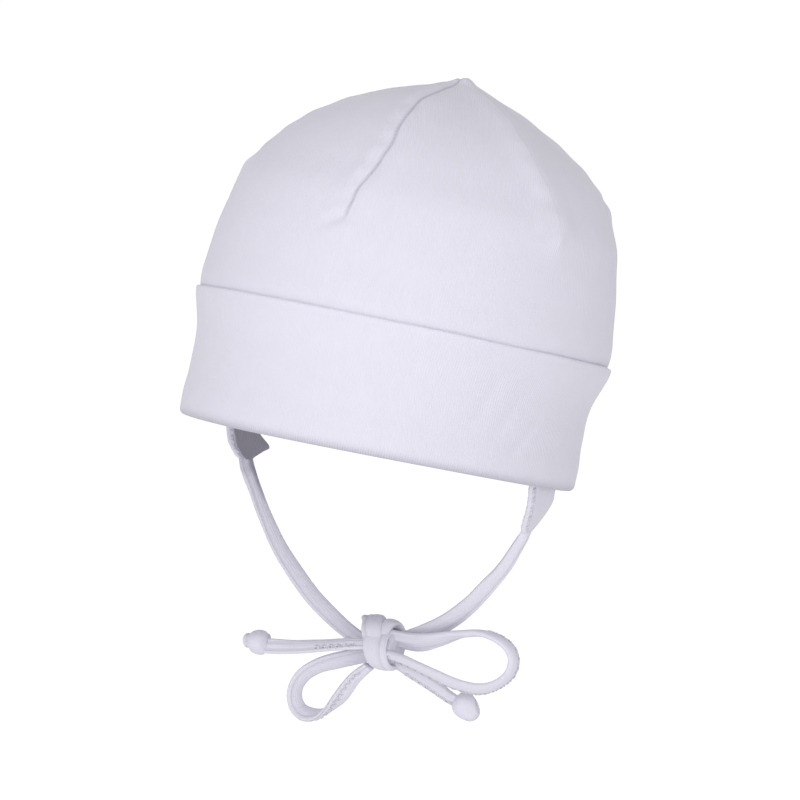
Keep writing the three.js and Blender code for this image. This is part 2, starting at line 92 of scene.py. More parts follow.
def angle_apart(angle: np.ndarray, other: float) -> np.ndarray:
    """Returns the difference of two angles, in degrees from -180 to 180."""
    return (angle - other + 180.0) % 360.0 - 180.0


def read_table(rows: np.ndarray, place: np.ndarray, round_end: bool = False) -> np.ndarray:
    """Reads a table at places between its rows, along a smooth curve.

    Args:
        rows: the table's numbers, one line for each row.
        place: where to read, from 0 at the first row to the last row's number.
        round_end: mirrors the second column past the last row, so that a dome closes round.

    Returns:
        One line of numbers for each place.
    """
    before = 2 * rows[0] - rows[1]
    after = 2 * rows[-1] - rows[-2]
    if round_end:
        after = rows[-2].copy()
        after[1] = -after[1]
    padded = np.vstack([before, rows, after])
    index = np.clip(np.floor(place).astype(int), 0, len(rows) - 2)
    t = (place - index)[:, None]
    a, b, c, d = (padded[index + step] for step in range(4))
    return 0.5 * (2 * b + (c - a) * t + (2 * a - 5 * b + 4 * c - d) * t**2
                  + (3 * b - a - 3 * c + d) * t**3)


def even_places(rows: np.ndarray, columns: Sequence[int], count: int,
                round_end: bool = False) -> np.ndarray:
    """Finds places in a table that lie at even distances along its curve.

    Args:
        rows: the table's numbers.
        columns: the columns that hold a point's coordinates.
        count: how many places.
        round_end: as in read_table.

    Returns:
        The places, from 0 to the last row's number.
    """
    fine = np.linspace(0.0, len(rows) - 1.0, 40 * len(rows))
    points = read_table(rows, fine, round_end)[:, columns]
    steps = np.linalg.norm(np.diff(points, axis=0), axis=1)
    along = np.concatenate([[0.0], np.cumsum(steps)])
    return np.interp(np.linspace(0.0, along[-1], count), along, fine)


def soft_noise(points: np.ndarray, wavelength: float, seed: float) -> np.ndarray:
    """Reads Blender's own smooth noise, the same on each run.

    Args:
        points: positions in millimetres, in an array whose last axis is x, y and z.
        wavelength: size of a soft lump, in millimetres.
        seed: shifts the pattern.

    Returns:
        Values of about -1 to 1, one for each point.
    """
    flat = points.reshape(-1, 3) / wavelength + seed
    values = np.array([noise.noise(Vector(point)) for point in flat])
    return values.reshape(points.shape[:-1])


# Meshes


def make_piece(name: str, points: np.ndarray, faces: list, uvs: np.ndarray,
               shade: np.ndarray, material: bpy.types.Material) -> bpy.types.Object:
    """Makes one mesh object with its cloth coordinates and its painted shade.

    Args:
        name: the piece's name.
        points: vertices in millimetres.
        faces: vertex numbers of each face.
        uvs: cloth coordinates in millimetres, one line for each face corner.
        shade: painted shade of each vertex, from 0 to 1, in creases, seams and folds and where
            shadows are painted.
        material: the piece's finish.

    Returns:
        The new object, at the origin.
    """
    mesh = bpy.data.meshes.new(name)
    mesh.from_pydata((points * MM).tolist(), [], faces)
    layer = mesh.uv_layers.new(name=UV_NAME)
    layer.data.foreach_set("uv", uvs.astype(np.float32).ravel())
    crease = mesh.attributes.new(PAINTED_SHADE_NAME, "FLOAT", "POINT")
    crease.data.foreach_set("value", shade.astype(np.float32))
    mesh.polygons.foreach_set("use_smooth", [True] * len(mesh.polygons))
    mesh.materials.append(material)
    mesh.validate()
    piece = bpy.data.objects.new(name, mesh)
    bpy.context.scene.collection.objects.link(piece)
    return piece


def settle(piece: bpy.types.Object, slot: Slot, *nodes: str) -> bpy.types.Object:
    """Lets a piece ride on the cap, hides the CAD nodes that it stands for and logs its faces."""
    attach(piece, BODY)
    if nodes:
        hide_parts(*nodes)
    count = len(piece.data.polygons)
    log.info("%s: %d faces for %s", piece.name, count, ", ".join(nodes) or "trim")
    return piece


@dataclass
class Skin:
    """Closed skin woven from rows and columns of points, in millimetres.

    The columns always close round. The rows close round too, or end in a pole or a flat cap.
    """

    points: np.ndarray
    uv_left: np.ndarray
    uv_right: np.ndarray
    shade: np.ndarray
    rows_close: bool = False
    first_pole: np.ndarray | None = None
    last_pole: np.ndarray | None = None

    def build(self, name: str, material: bpy.types.Material) -> bpy.types.Object:
        """Makes the skin's object.

        Args:
            name: the piece's name.
            material: the piece's finish.

        Returns:
            The new object.
        """
        rows, columns = self.points.shape[:2]
        index = np.arange(rows * columns).reshape(rows, columns)
        right = np.roll(index, -1, axis=1)
        above = np.roll(index, -1, axis=0)
        above_right = np.roll(right, -1, axis=0)
        last = rows if self.rows_close else rows - 1
        quads = np.stack([index, right, above_right, above], axis=-1)[:last].reshape(-1, 4)
        upper_left = np.roll(self.uv_left, -1, axis=0)
        upper_right = np.roll(self.uv_right, -1, axis=0)
        if self.rows_close:
            upper_left, upper_right = self._rows_on(upper_left), self._rows_on(upper_right)
        corners = np.stack([self.uv_left, self.uv_right, upper_right, upper_left], axis=2)
        faces = quads.tolist()
        uvs = [corners[:last].reshape(-1, 2)]
        points = [self.points.reshape(-1, 3)]
        shade = [self.shade.ravel()]
        if not self.rows_close:
            for end, pole in ((0, self.first_pole), (rows - 1, self.last_pole)):
                ring = index[end] if end else index[end][::-1]
                if pole is None:
                    faces.append(ring.tolist())
                    uvs.append(self.uv_left[end] if end else self.uv_left[end][::-1])
                    continue
                tip = rows * columns + len(points) - 1
                points.append(pole[None, :])
                shade.append(self.shade[end].mean(keepdims=True))
                faces.extend([[int(a), int(b), tip] for a, b in zip(ring, np.roll(ring, -1))])
                flat = self.uv_left[end] if end else self.uv_left[end][::-1]
                uvs.append(np.stack([flat, flat, flat], axis=1).reshape(-1, 2))
        return make_piece(name, np.concatenate(points), faces, np.concatenate(uvs),
                          np.concatenate(shade), material)

    @staticmethod
    def _rows_on(uv: np.ndarray) -> np.ndarray:
        """Carries the rows' cloth coordinate on past the last row, where the skin closes."""
        uv = uv.copy()
        uv[-1, :, 1] = uv[-2, :, 1] + 1.0
        return uv


# Finishes


def linear(code: int) -> tuple[float, float, float, float]:
    """Turns an sRGB hex colour into the linear colour that Blender's sockets take."""
    channels = [((code >> shift) & 255) / 255.0 for shift in (16, 8, 0)]
    values = [c / 12.92 if c <= 0.04045 else ((c + 0.055) / 1.055) ** 2.4 for c in channels]
    return (values[0], values[1], values[2], 1.0)


def add_node(tree: bpy.types.NodeTree, kind: str, settings: dict | None = None,
             values: dict | None = None, links: dict | None = None) -> bpy.types.Node:
    """Adds one node with its settings, values and incoming links.

    Args:
        tree: the node tree.
        kind: the node's type name.
        settings: properties of the node.
        values: input socket, by name or number, to its value.
        links: input socket, by name or number, to the output that feeds it.

    Returns:
        The new node.
    """
    node = tree.nodes.new(kind)
    for key, value in (settings or {}).items():
        setattr(node, key, value)
    for key, value in (values or {}).items():
        node.inputs[key].default_value = value
    for key, output in (links or {}).items():
        tree.links.new(output, node.inputs[key])
    return node


@dataclass(frozen=True)
class JerseyFinish:
    """Single jersey of combed white cotton, knitted fine and worn soft.

    The eye gets a matt, faintly lavender white with a bloom of fibre at the turning edges,
    upright wales that only just show, and painted shade mixed into the colour from the crease
    attribute: darker in creases, seams and folds and where shadows are painted, with the wales
    picked out in it.
    Real wales are about 0.5 mm apart, under two pixels of the render, so they are drawn at
    0.9 mm.
    """

    name: str
    face: int = 0xD9D7E3
    # Colour of the painted shade, mixed in by the crease attribute.
    painted_shade_colour: int = 0x84818F
    wale_mm: float = 0.9
    course_mm: float = 0.7
    knit_depth_mm: float = 0.07
    crumple_mm: float = 7.0
    crumple_depth_mm: float = 0.12
    roughness: float = 0.88
    sheen: float = 0.18
    tick_share: float = 0.45
    tick_level: float = 1.3
    crumple_tint: float = 0.06
    knit_tint: float = 0.05
    tint_level: float = 0.1

    def material(self) -> bpy.types.Material:
        """Builds the finish from the piece's own cloth coordinates.

        Returns:
            The material.
        """
        made = bpy.data.materials.new(self.name)
        made.use_nodes = True
        tree = made.node_tree
        tree.nodes.clear()
        cloth = add_node(tree, "ShaderNodeUVMap", {"uv_map": UV_NAME}).outputs["UV"]
        place = add_node(tree, "ShaderNodeTexCoord").outputs["Object"]
        knit = self._knit(tree, cloth)
        crumple = add_node(tree, "ShaderNodeTexNoise", {"noise_dimensions": "3D"},
                           {"Scale": 1.0 / (self.crumple_mm * MM), "Detail": 3.0},
                           {"Vector": place}).outputs["Fac"]
        soft = add_node(tree, "ShaderNodeBump", {}, {"Distance": self.crumple_depth_mm * MM},
                        {"Height": crumple}).outputs["Normal"]
        fine = add_node(tree, "ShaderNodeBump", {}, {"Distance": self.knit_depth_mm * MM},
                        {"Height": knit, "Normal": soft}).outputs["Normal"]
        shader = add_node(tree, "ShaderNodeBsdfPrincipled", {},
                          {"Roughness": self.roughness, "Sheen Weight": self.sheen,
                           "Sheen Roughness": 0.5, "IOR": 1.45, "Specular IOR Level": 0.2},
                          {"Base Color": self._colour(tree, crumple, knit), "Normal": fine})
        add_node(tree, "ShaderNodeOutputMaterial", {}, {}, {"Surface": shader.outputs["BSDF"]})
        return made

    def _knit(self, tree: bpy.types.NodeTree, cloth: bpy.types.NodeSocket) -> bpy.types.NodeSocket:
        """Draws the upright wales, each a row of small V stitches.

        Args:
            tree: the material's tree.
            cloth: the cloth coordinates in millimetres.

        Returns:
            The knit's height, from 0 to 1.
        """
        split = add_node(tree, "ShaderNodeSeparateXYZ", {}, {}, {"Vector": cloth})
        across = add_node(tree, "ShaderNodeMath", {"operation": "DIVIDE"}, {1: self.wale_mm},
                          {0: split.outputs["X"]})
        swing = add_node(tree, "ShaderNodeMath", {"operation": "PINGPONG"}, {1: 0.5},
                         {0: across.outputs[0]})
        ridge = add_node(tree, "ShaderNodeMath", {"operation": "MULTIPLY"}, {1: 2.0},
                         {0: swing.outputs[0]})
        along = add_node(tree, "ShaderNodeMath", {"operation": "DIVIDE"}, {1: self.course_mm},
                         {0: split.outputs["Y"]})
        slant = add_node(tree, "ShaderNodeMath", {"operation": "ADD"}, {},
                         {0: along.outputs[0], 1: ridge.outputs[0]})
        stitch = add_node(tree, "ShaderNodeMath", {"operation": "PINGPONG"}, {1: 0.5},
                          {0: slant.outputs[0]})
        shape = add_node(tree, "ShaderNodeMath", {"operation": "MULTIPLY_ADD"},
                         {1: 0.6}, {0: stitch.outputs[0], 2: ridge.outputs[0]})
        return shape.outputs[0]

    def _colour(self, tree: bpy.types.NodeTree, crumple: bpy.types.NodeSocket,
                knit: bpy.types.NodeSocket) -> bpy.types.NodeSocket:
        """Mixes the cloth's colour from its face and its painted shade, read from the crease
        attribute.

        Args:
            tree: the material's tree.
            crumple: the slow noise.
            knit: the knit's height.

        Returns:
            The colour.
        """
        # Painted shade: the crease attribute, ticked by the knit, mixes in the darker painted-shade
        # colour.
        crease = add_node(tree, "ShaderNodeAttribute", {"attribute_name": PAINTED_SHADE_NAME})
        ticked = add_node(tree, "ShaderNodeMath", {"operation": "MULTIPLY_ADD"},
                          {1: -self.tick_share, 2: self.tick_level}, {0: knit})
        pressed = add_node(tree, "ShaderNodeMath", {"operation": "MULTIPLY"}, {},
                           {0: crease.outputs["Fac"], 1: ticked.outputs[0]})
        slow = add_node(tree, "ShaderNodeMath", {"operation": "MULTIPLY_ADD"},
                        {1: -self.crumple_tint}, {0: crumple, 2: pressed.outputs[0]})
        grain = add_node(tree, "ShaderNodeMath", {"operation": "MULTIPLY_ADD"},
                         {1: -self.knit_tint}, {0: knit, 2: slow.outputs[0]})
        lifted = add_node(tree, "ShaderNodeMath", {"operation": "ADD", "use_clamp": True},
                          {1: self.tint_level}, {0: grain.outputs[0]})
        mix = add_node(tree, "ShaderNodeMix", {"data_type": "RGBA"},
                       {6: linear(self.face), 7: linear(self.painted_shade_colour)}, {0: lifted.outputs[0]})
        return mix.outputs[2]


@dataclass(frozen=True)
class ThreadFinish:
    """Spun polyester sewing thread, smoother than the jersey, so its stitches catch the light."""

    name: str = "sewing_thread"
    face: int = 0xEDEBF4
    roughness: float = 0.6
    sheen: float = 0.1
    ply_depth_mm: float = 0.05

    def material(self) -> bpy.types.Material:
        """Builds the thread's finish, twisted in fine slanting plies.

        Returns:
            The material.
        """
        made = bpy.data.materials.new(self.name)
        made.use_nodes = True
        tree = made.node_tree
        tree.nodes.clear()
        cloth = add_node(tree, "ShaderNodeUVMap", {"uv_map": UV_NAME}).outputs["UV"]
        ply = add_node(tree, "ShaderNodeTexWave", {"bands_direction": "DIAGONAL"},
                       {"Scale": 1.2}, {"Vector": cloth}).outputs["Fac"]
        bump = add_node(tree, "ShaderNodeBump", {}, {"Distance": self.ply_depth_mm * MM},
                        {"Height": ply})
        shader = add_node(tree, "ShaderNodeBsdfPrincipled", {},
                          {"Base Color": linear(self.face), "Roughness": self.roughness,
                           "Sheen Weight": self.sheen},
                          {"Normal": bump.outputs["Normal"]})
        add_node(tree, "ShaderNodeOutputMaterial", {}, {}, {"Surface": shader.outputs["BSDF"]})
        return made


@dataclass(frozen=True)
class PaperFinish:
    """Matt seamless studio paper, plain and pale.

    The paper glows by its own emission some way from the cap, painted light that stands in for
    a brightly lit backdrop, so the eye gets a clean white ground while little light comes up at
    the cap from below.
    """

    name: str = "studio_paper"
    face: int = 0xFDFDFD
    glow: float = 0.52
    dim_within: float = 0.55
    bright_from: float = 0.75

    def material(self) -> bpy.types.Material:
        """Builds the floor's finish.

        Returns:
            The material.
        """
        made = bpy.data.materials.new(self.name)
        made.use_nodes = True
        tree = made.node_tree
        shader = tree.nodes["Principled BSDF"]
        shader.inputs["Base Color"].default_value = linear(self.face)
        shader.inputs["Roughness"].default_value = 1.0
        shader.inputs["Emission Color"].default_value = linear(self.face)
        place = add_node(tree, "ShaderNodeTexCoord").outputs["Object"]
        away = add_node(tree, "ShaderNodeVectorMath", {"operation": "LENGTH"}, {}, {0: place})
        bright = add_node(tree, "ShaderNodeMapRange", {"interpolation_type": "SMOOTHSTEP"},
                          {"From Min": self.dim_within, "From Max": self.bright_from,
                           "To Min": 0.0, "To Max": self.glow}, {"Value": away.outputs["Value"]})
        # Painted light: the emission makes the paper glow from dim_within outwards.
        tree.links.new(bright.outputs["Result"], shader.inputs["Emission Strength"])
        return made


# The cap


class CrownRow(NamedTuple):
    """Section of the crown: how far it leans back and how far a panel flattens there."""

    height: float
    radius: float
    back: float
    gore: float


class Dart(NamedTuple):
    """Dart by its angle from the front towards the wearer's left, and its lower end.

    The lean is how many degrees further round the seam lies at the crown's tip. The bump is how
    far the dart's end stands out, the crease how deep the seam is pressed in, the puff how far
    the cloth bulges beside it and the ridge how far the whole seam stands out, each in
    millimetres. The phase gives each seam a sway of its own.
    """

    angle: float
    lean: float
    end: float
    bump: float
    crease: float
    puff: float
    ridge: float
    phase: float


class CuffRow(NamedTuple):
    """Section of the cuff's outer face."""

    height: float
    radius: float
    back: float


class CuffCrease(NamedTuple):
    """Faint crease of the cuff by the angle and height of its middle, and how far it slants."""

    angle: float
    height: float
    slant: float


CROWN_ROWS = (
    CrownRow(20.4, 71.2, 0, 0),
    CrownRow(30, 71.4, 0, 0),
    CrownRow(40, 73.2, 0.9, 0),
    CrownRow(50, 74.9, 1.3, 0),
    CrownRow(60, 75.3, 1.4, 0),
    CrownRow(70, 74.5, 1.5, 0),
    CrownRow(80, 72.5, 1.8, 0.2),
    CrownRow(90, 70, 2.7, 0.7),
    CrownRow(99, 64.9, 3.2, 1.3),
    CrownRow(107, 59.4, 3.6, 1.7),
    CrownRow(115, 51.6, 3.6, 1.9),
    CrownRow(122, 41.9, 3.2, 1.7),
    CrownRow(128.5, 30.5, 3.2, 1.2),
    CrownRow(133.5, 18.6, 4.6, 0.7),
    CrownRow(136.5, 8.6, 5.6, 0.3),
    CrownRow(138.5, 0, 5.8, 0),
)

DARTS = (
    Dart(15, 3.4, 79, 0.5, 0.55, 0.75, 0, 0.4),
    Dart(77, -5.4, 89.5, 1.3, 0.1, 0.2, 0.8, 2.1),
    Dart(128, -6, 105, 1.4, 0.3, 0.5, 0.3, 3.9),
    Dart(190, 2, 90, 0.6, 0.45, 0.6, 0, 5.2),
    Dart(250, -2, 86, 0.7, 0.45, 0.7, 0, 1.3),
    Dart(313, 1, 96, 0.9, 0.45, 0.6, 0, 2.8),
)

CUFF_ROWS = (
    CuffRow(2.2, 73.7, 0),
    CuffRow(9, 73.8, 0),
    CuffRow(15, 73.3, 0),
    CuffRow(21, 73.2, 0),
    CuffRow(27, 73.2, 0),
    CuffRow(33, 73.9, 0.4),
    CuffRow(39, 75.5, 1),
    CuffRow(44, 77, 1.4),
    CuffRow(47.2, 77.6, 1.5),
)

CUFF_CREASES = (
    CuffCrease(72.0, 22.0, 0.5),
    CuffCrease(78.0, 14.0, 0.7),
    CuffCrease(64.0, 26.0, 0.4),
)


@dataclass(frozen=True)
class HeadFrame:
    """The tilted frame that crown, cuff and ear tabs are measured in.

    Heights are above the cuff's lower fold. The frame leans back about the wearer's own left
    to right line, and the crown's tip sits at the origin.
    """

    tilt_back: float = 19.0
    seat_height: float = 137.6
    seat_back: float = 5.8
    width_factor: float = 0.985
    length_factor: float = 1.02

    def at(self, radius: np.ndarray, angle: np.ndarray, height: np.ndarray,
           back: np.ndarray) -> np.ndarray:
        """Places points round the head.

        Args:
            radius: distance from the cap's own axis, in millimetres.
            angle: degrees from the front towards the wearer's left.
            height: height above the cuff's lower fold.
            back: how far the section leans towards the nape.

        Returns:
            The points in the CAD's frame, in millimetres.
        """
        x = radius * self.width_factor * np.sin(np.radians(angle))
        y = back - radius * self.length_factor * np.cos(np.radians(angle)) - self.seat_back
        z = height - self.seat_height
        tilt = math.radians(self.tilt_back)
        return np.stack([x, y * math.cos(tilt) + z * math.sin(tilt),
                         z * math.cos(tilt) - y * math.sin(tilt)], axis=-1)


@dataclass
class Crown:
    """The domed body: one wall of jersey closed by six darts that meet at the tip."""

    head: HeadFrame
    finish: JerseyFinish
    wall: float = 1.6
    columns_per_gore: int = 52
    seam_crowding: float = 0.115
    outer_rows: int = 150
    inner_rows: int = 36
    valley_half_width: float = 0.6
    shoulder_share: float = 0.5
    shoulder_half_width: float = 3.0
    puff_offset: float = 4.6
    puff_half_width: float = 3.2
    far_puff_share: float = 0.45
    fade_length: float = 16.0
    end_bump_radius: float = 9.0
    pucker_height: float = 0.16
    pucker_pitch: float = 7.5
    pucker_offset: float = 2.5
    pucker_half_width: float = 3.5
    ridge_half_width: float = 6.5
    seam_start: float = -1.0
    seam_set: float = 3.0
    seam_shade: float = 0.7
    seam_shade_half_width: float = 0.5
    knob_height: float = 0.55
    knob_aside: float = 0.5
    knob_below: float = 3.0
    knob_half_width: float = 2.6
    dimple_depth: float = 0.8
    dimple_aside: float = 4.6
    dimple_above: float = 1.0
    dimple_stretch: float = 2.4
    dimple_slant: float = 0.45
    dimple_half_width: float = 1.9
    sway: float = 0.55
    slow_sway_length: float = 5.3
    quick_sway_length: float = 1.9
    quick_sway_share: float = 0.4
    sway_from: float = 3.0
    sway_full: float = 22.0
    least_sway_radius: float = 6.0
    lean_length: float = 28.0
    gore_level: float = 0.6
    soft_height: float = 0.5
    soft_size: float = 38.0
    soft_from: float = 46.0
    soft_full: float = 70.0
    cuff_top: float = 48.0
    cuff_swell: float = 1.6
    swell_above: float = 1.5
    swell_half_width: float = 9.0
    tip_sink: float = 0.6

    def dart_angles(self, height: np.ndarray, radius: np.ndarray) -> np.ndarray:
        """Gives where each dart's seam runs, with the small sway of a seam sewn by hand.

        Args:
            height: heights of the rows.
            radius: radii of the rows.

        Returns:
            Angles in degrees, a row for each height and a column for each dart.
        """
        phase = np.array([dart.phase for dart in DARTS])
        lean = np.stack([dart.lean * smoothstep(height, dart.end, dart.end + self.lean_length)
                         for dart in DARTS], axis=1)
        slow = np.sin(height[:, None] / self.slow_sway_length + phase)
        quick = np.sin(height[:, None] / self.quick_sway_length + 2.0 * phase)
        aside = self.sway * (slow + self.quick_sway_share * quick)
        fade = smoothstep(radius, self.sway_from, self.sway_full)[:, None]
        moved = np.degrees(aside * fade / np.maximum(radius, self.least_sway_radius)[:, None])
        return np.array([dart.angle for dart in DARTS]) + lean + moved

    def relief(self, angle: np.ndarray, height: np.ndarray, radius: np.ndarray,
               seams: np.ndarray) -> tuple[np.ndarray, np.ndarray]:
        """Works out how far the darts push the cloth out, and the painted shade along their seams.

        Args:
            angle: angle of each point.
            height: height of each row, as a column.
            radius: radius of each row, as a column.
            seams: angles from dart_angles.

        Returns:
            The shift in millimetres and the painted shade of the seams' creases, from 0 to 1.
        """
        shift = np.zeros_like(angle)
        shade = np.zeros_like(angle)
        for number, dart in enumerate(DARTS):
            across = np.radians(angle_apart(angle, seams[:, number:number + 1])) * radius
            above = height - dart.end
            strength = smoothstep(above, self.seam_start, self.fade_length)
            begun = smoothstep(above, self.seam_start, self.seam_set)
            shift -= begun * dart.crease * bell(across, self.valley_half_width)
            shift -= (strength * self.shoulder_share * dart.crease
                      * bell(across, self.shoulder_half_width))
            share = np.where(across < 0, 1.0, self.far_puff_share)
            puff = bell(np.abs(across) - self.puff_offset, self.puff_half_width)
            ridge = dart.ridge * bell(across, self.ridge_half_width)
            shift += strength * (dart.puff * share * puff + ridge)
            pucker = np.cos(2 * np.pi * height / self.pucker_pitch + dart.phase)
            shift += (begun * self.pucker_height * pucker
                      * bell(across + self.pucker_offset, self.pucker_half_width))
            shift += dart.bump * bell(np.hypot(across, above), self.end_bump_radius)
            shift += self.knob_height * bell(
                np.hypot(across - self.knob_aside, above + self.knob_below), self.knob_half_width)
            dimple_across = (across + self.dimple_aside) / self.dimple_stretch
            dimple_up = above - self.dimple_slant * across - self.dimple_above
            shift -= self.dimple_depth * bell(np.hypot(dimple_across, dimple_up),
                                              self.dimple_half_width)
            # Painted shade: the seams' creases are darkened in the colour.
            shade = np.maximum(shade, self.seam_shade * begun * dart.crease
                               * bell(across, self.seam_shade_half_width))
        return shift, shade

    def gore_place(self, columns: int) -> np.ndarray:
        """Returns each column's place between its two darts, from 0 to 1, crowded at the darts."""
        share = (np.arange(columns) % self.columns_per_gore) / self.columns_per_gore
        return share - self.seam_crowding * np.sin(2 * np.pi * share)

    def build(self) -> bpy.types.Object:
        """Builds the crown's closed wall.

        Returns:
            The crown's object.
        """
        table = np.array(CROWN_ROWS, float)
        last = len(table) - 1
        outer = even_places(table, (0, 1), self.outer_rows + 1, True)[:-1]
        inner = even_places(table, (0, 1), self.inner_rows + 1, True)[:-1][::-1]
        places = np.concatenate([inner, outer])
        depth = np.concatenate([np.full(len(inner), self.wall), np.zeros(len(outer))])[:, None]
        values = read_table(table, places, True)
        nearby = 0.01
        ahead = read_table(table, np.minimum(places + nearby, last), True)
        behind = read_table(table, np.maximum(places - nearby, 0), True)
        rise = ahead[:, 0:1] - behind[:, 0:1]
        spread = ahead[:, 1:2] - behind[:, 1:2]
        length = np.hypot(rise, spread)
        height, radius, back, gore = (values[:, k:k + 1] for k in range(4))

        columns = len(DARTS) * self.columns_per_gore
        share = self.gore_place(columns)
        gores = np.arange(columns) // self.columns_per_gore
        seams = self.dart_angles(height[:, 0], radius[:, 0])
        following = np.roll(seams, -1, axis=1)
        following[:, -1] += 360.0
        angle = seams[:, gores] + share * (following - seams)[:, gores]

        shift, shade = self.relief(angle, height, radius, seams)
        shift += gore * ((2 * share - 1) ** 2 - self.gore_level)
        rough = self.head.at(radius, angle, height, back)
        free = smoothstep(height, self.soft_from, self.soft_full)
        shift += free * self.soft_height * soft_noise(rough, self.soft_size, 4.0)
        shift += self.cuff_swell * bell(height - self.cuff_top - self.swell_above,
                                        self.swell_half_width)
        shift -= depth
        out = self.head.at(radius + shift * rise / length, angle,
                           height - shift * spread / length, back)

        uv_left, uv_right = self._cloth(seams, following, gores, share, radius, values)
        tip = table[-1][0] - self.tip_sink
        poles = [self.head.at(np.array(0.0), np.array(0.0), np.array(tip - sunk),
                              np.array(values[-1][2])) for sunk in (self.wall, 0.0)]
        skin = Skin(out, uv_left, uv_right, shade, False, poles[0], poles[1])
        piece = skin.build("crown_shell", self.finish.material())
        return settle(piece, Slot.CROWN, "crown")

    @staticmethod
    def _cloth(seams: np.ndarray, following: np.ndarray, gores: np.ndarray, share: np.ndarray,
               radius: np.ndarray, values: np.ndarray) -> tuple[np.ndarray, np.ndarray]:
        """Lays each panel's cloth with its wales along the panel's own middle.

        Args:
            seams: angles of the darts at each row.
            following: angles of the next darts.
            gores: the panel of each column.
            share: place of each column in its panel.
            radius: radius of each row, as a column.
            values: the crown's table, read at each row.

        Returns:
            Cloth coordinates of each column's left and right side.
        """
        width = np.radians(following - seams)[:, gores] * radius
        next_share = np.roll(share, -1)
        next_share[next_share == 0] = 1.0
        steps = np.linalg.norm(np.diff(values[:, :2], axis=0), axis=1)
        along = np.concatenate([[0.0], np.cumsum(steps)])[:, None] + 0 * width
        return (np.stack([width * (share - 0.5), along], axis=-1),
                np.stack([width * (next_share - 0.5), along], axis=-1))


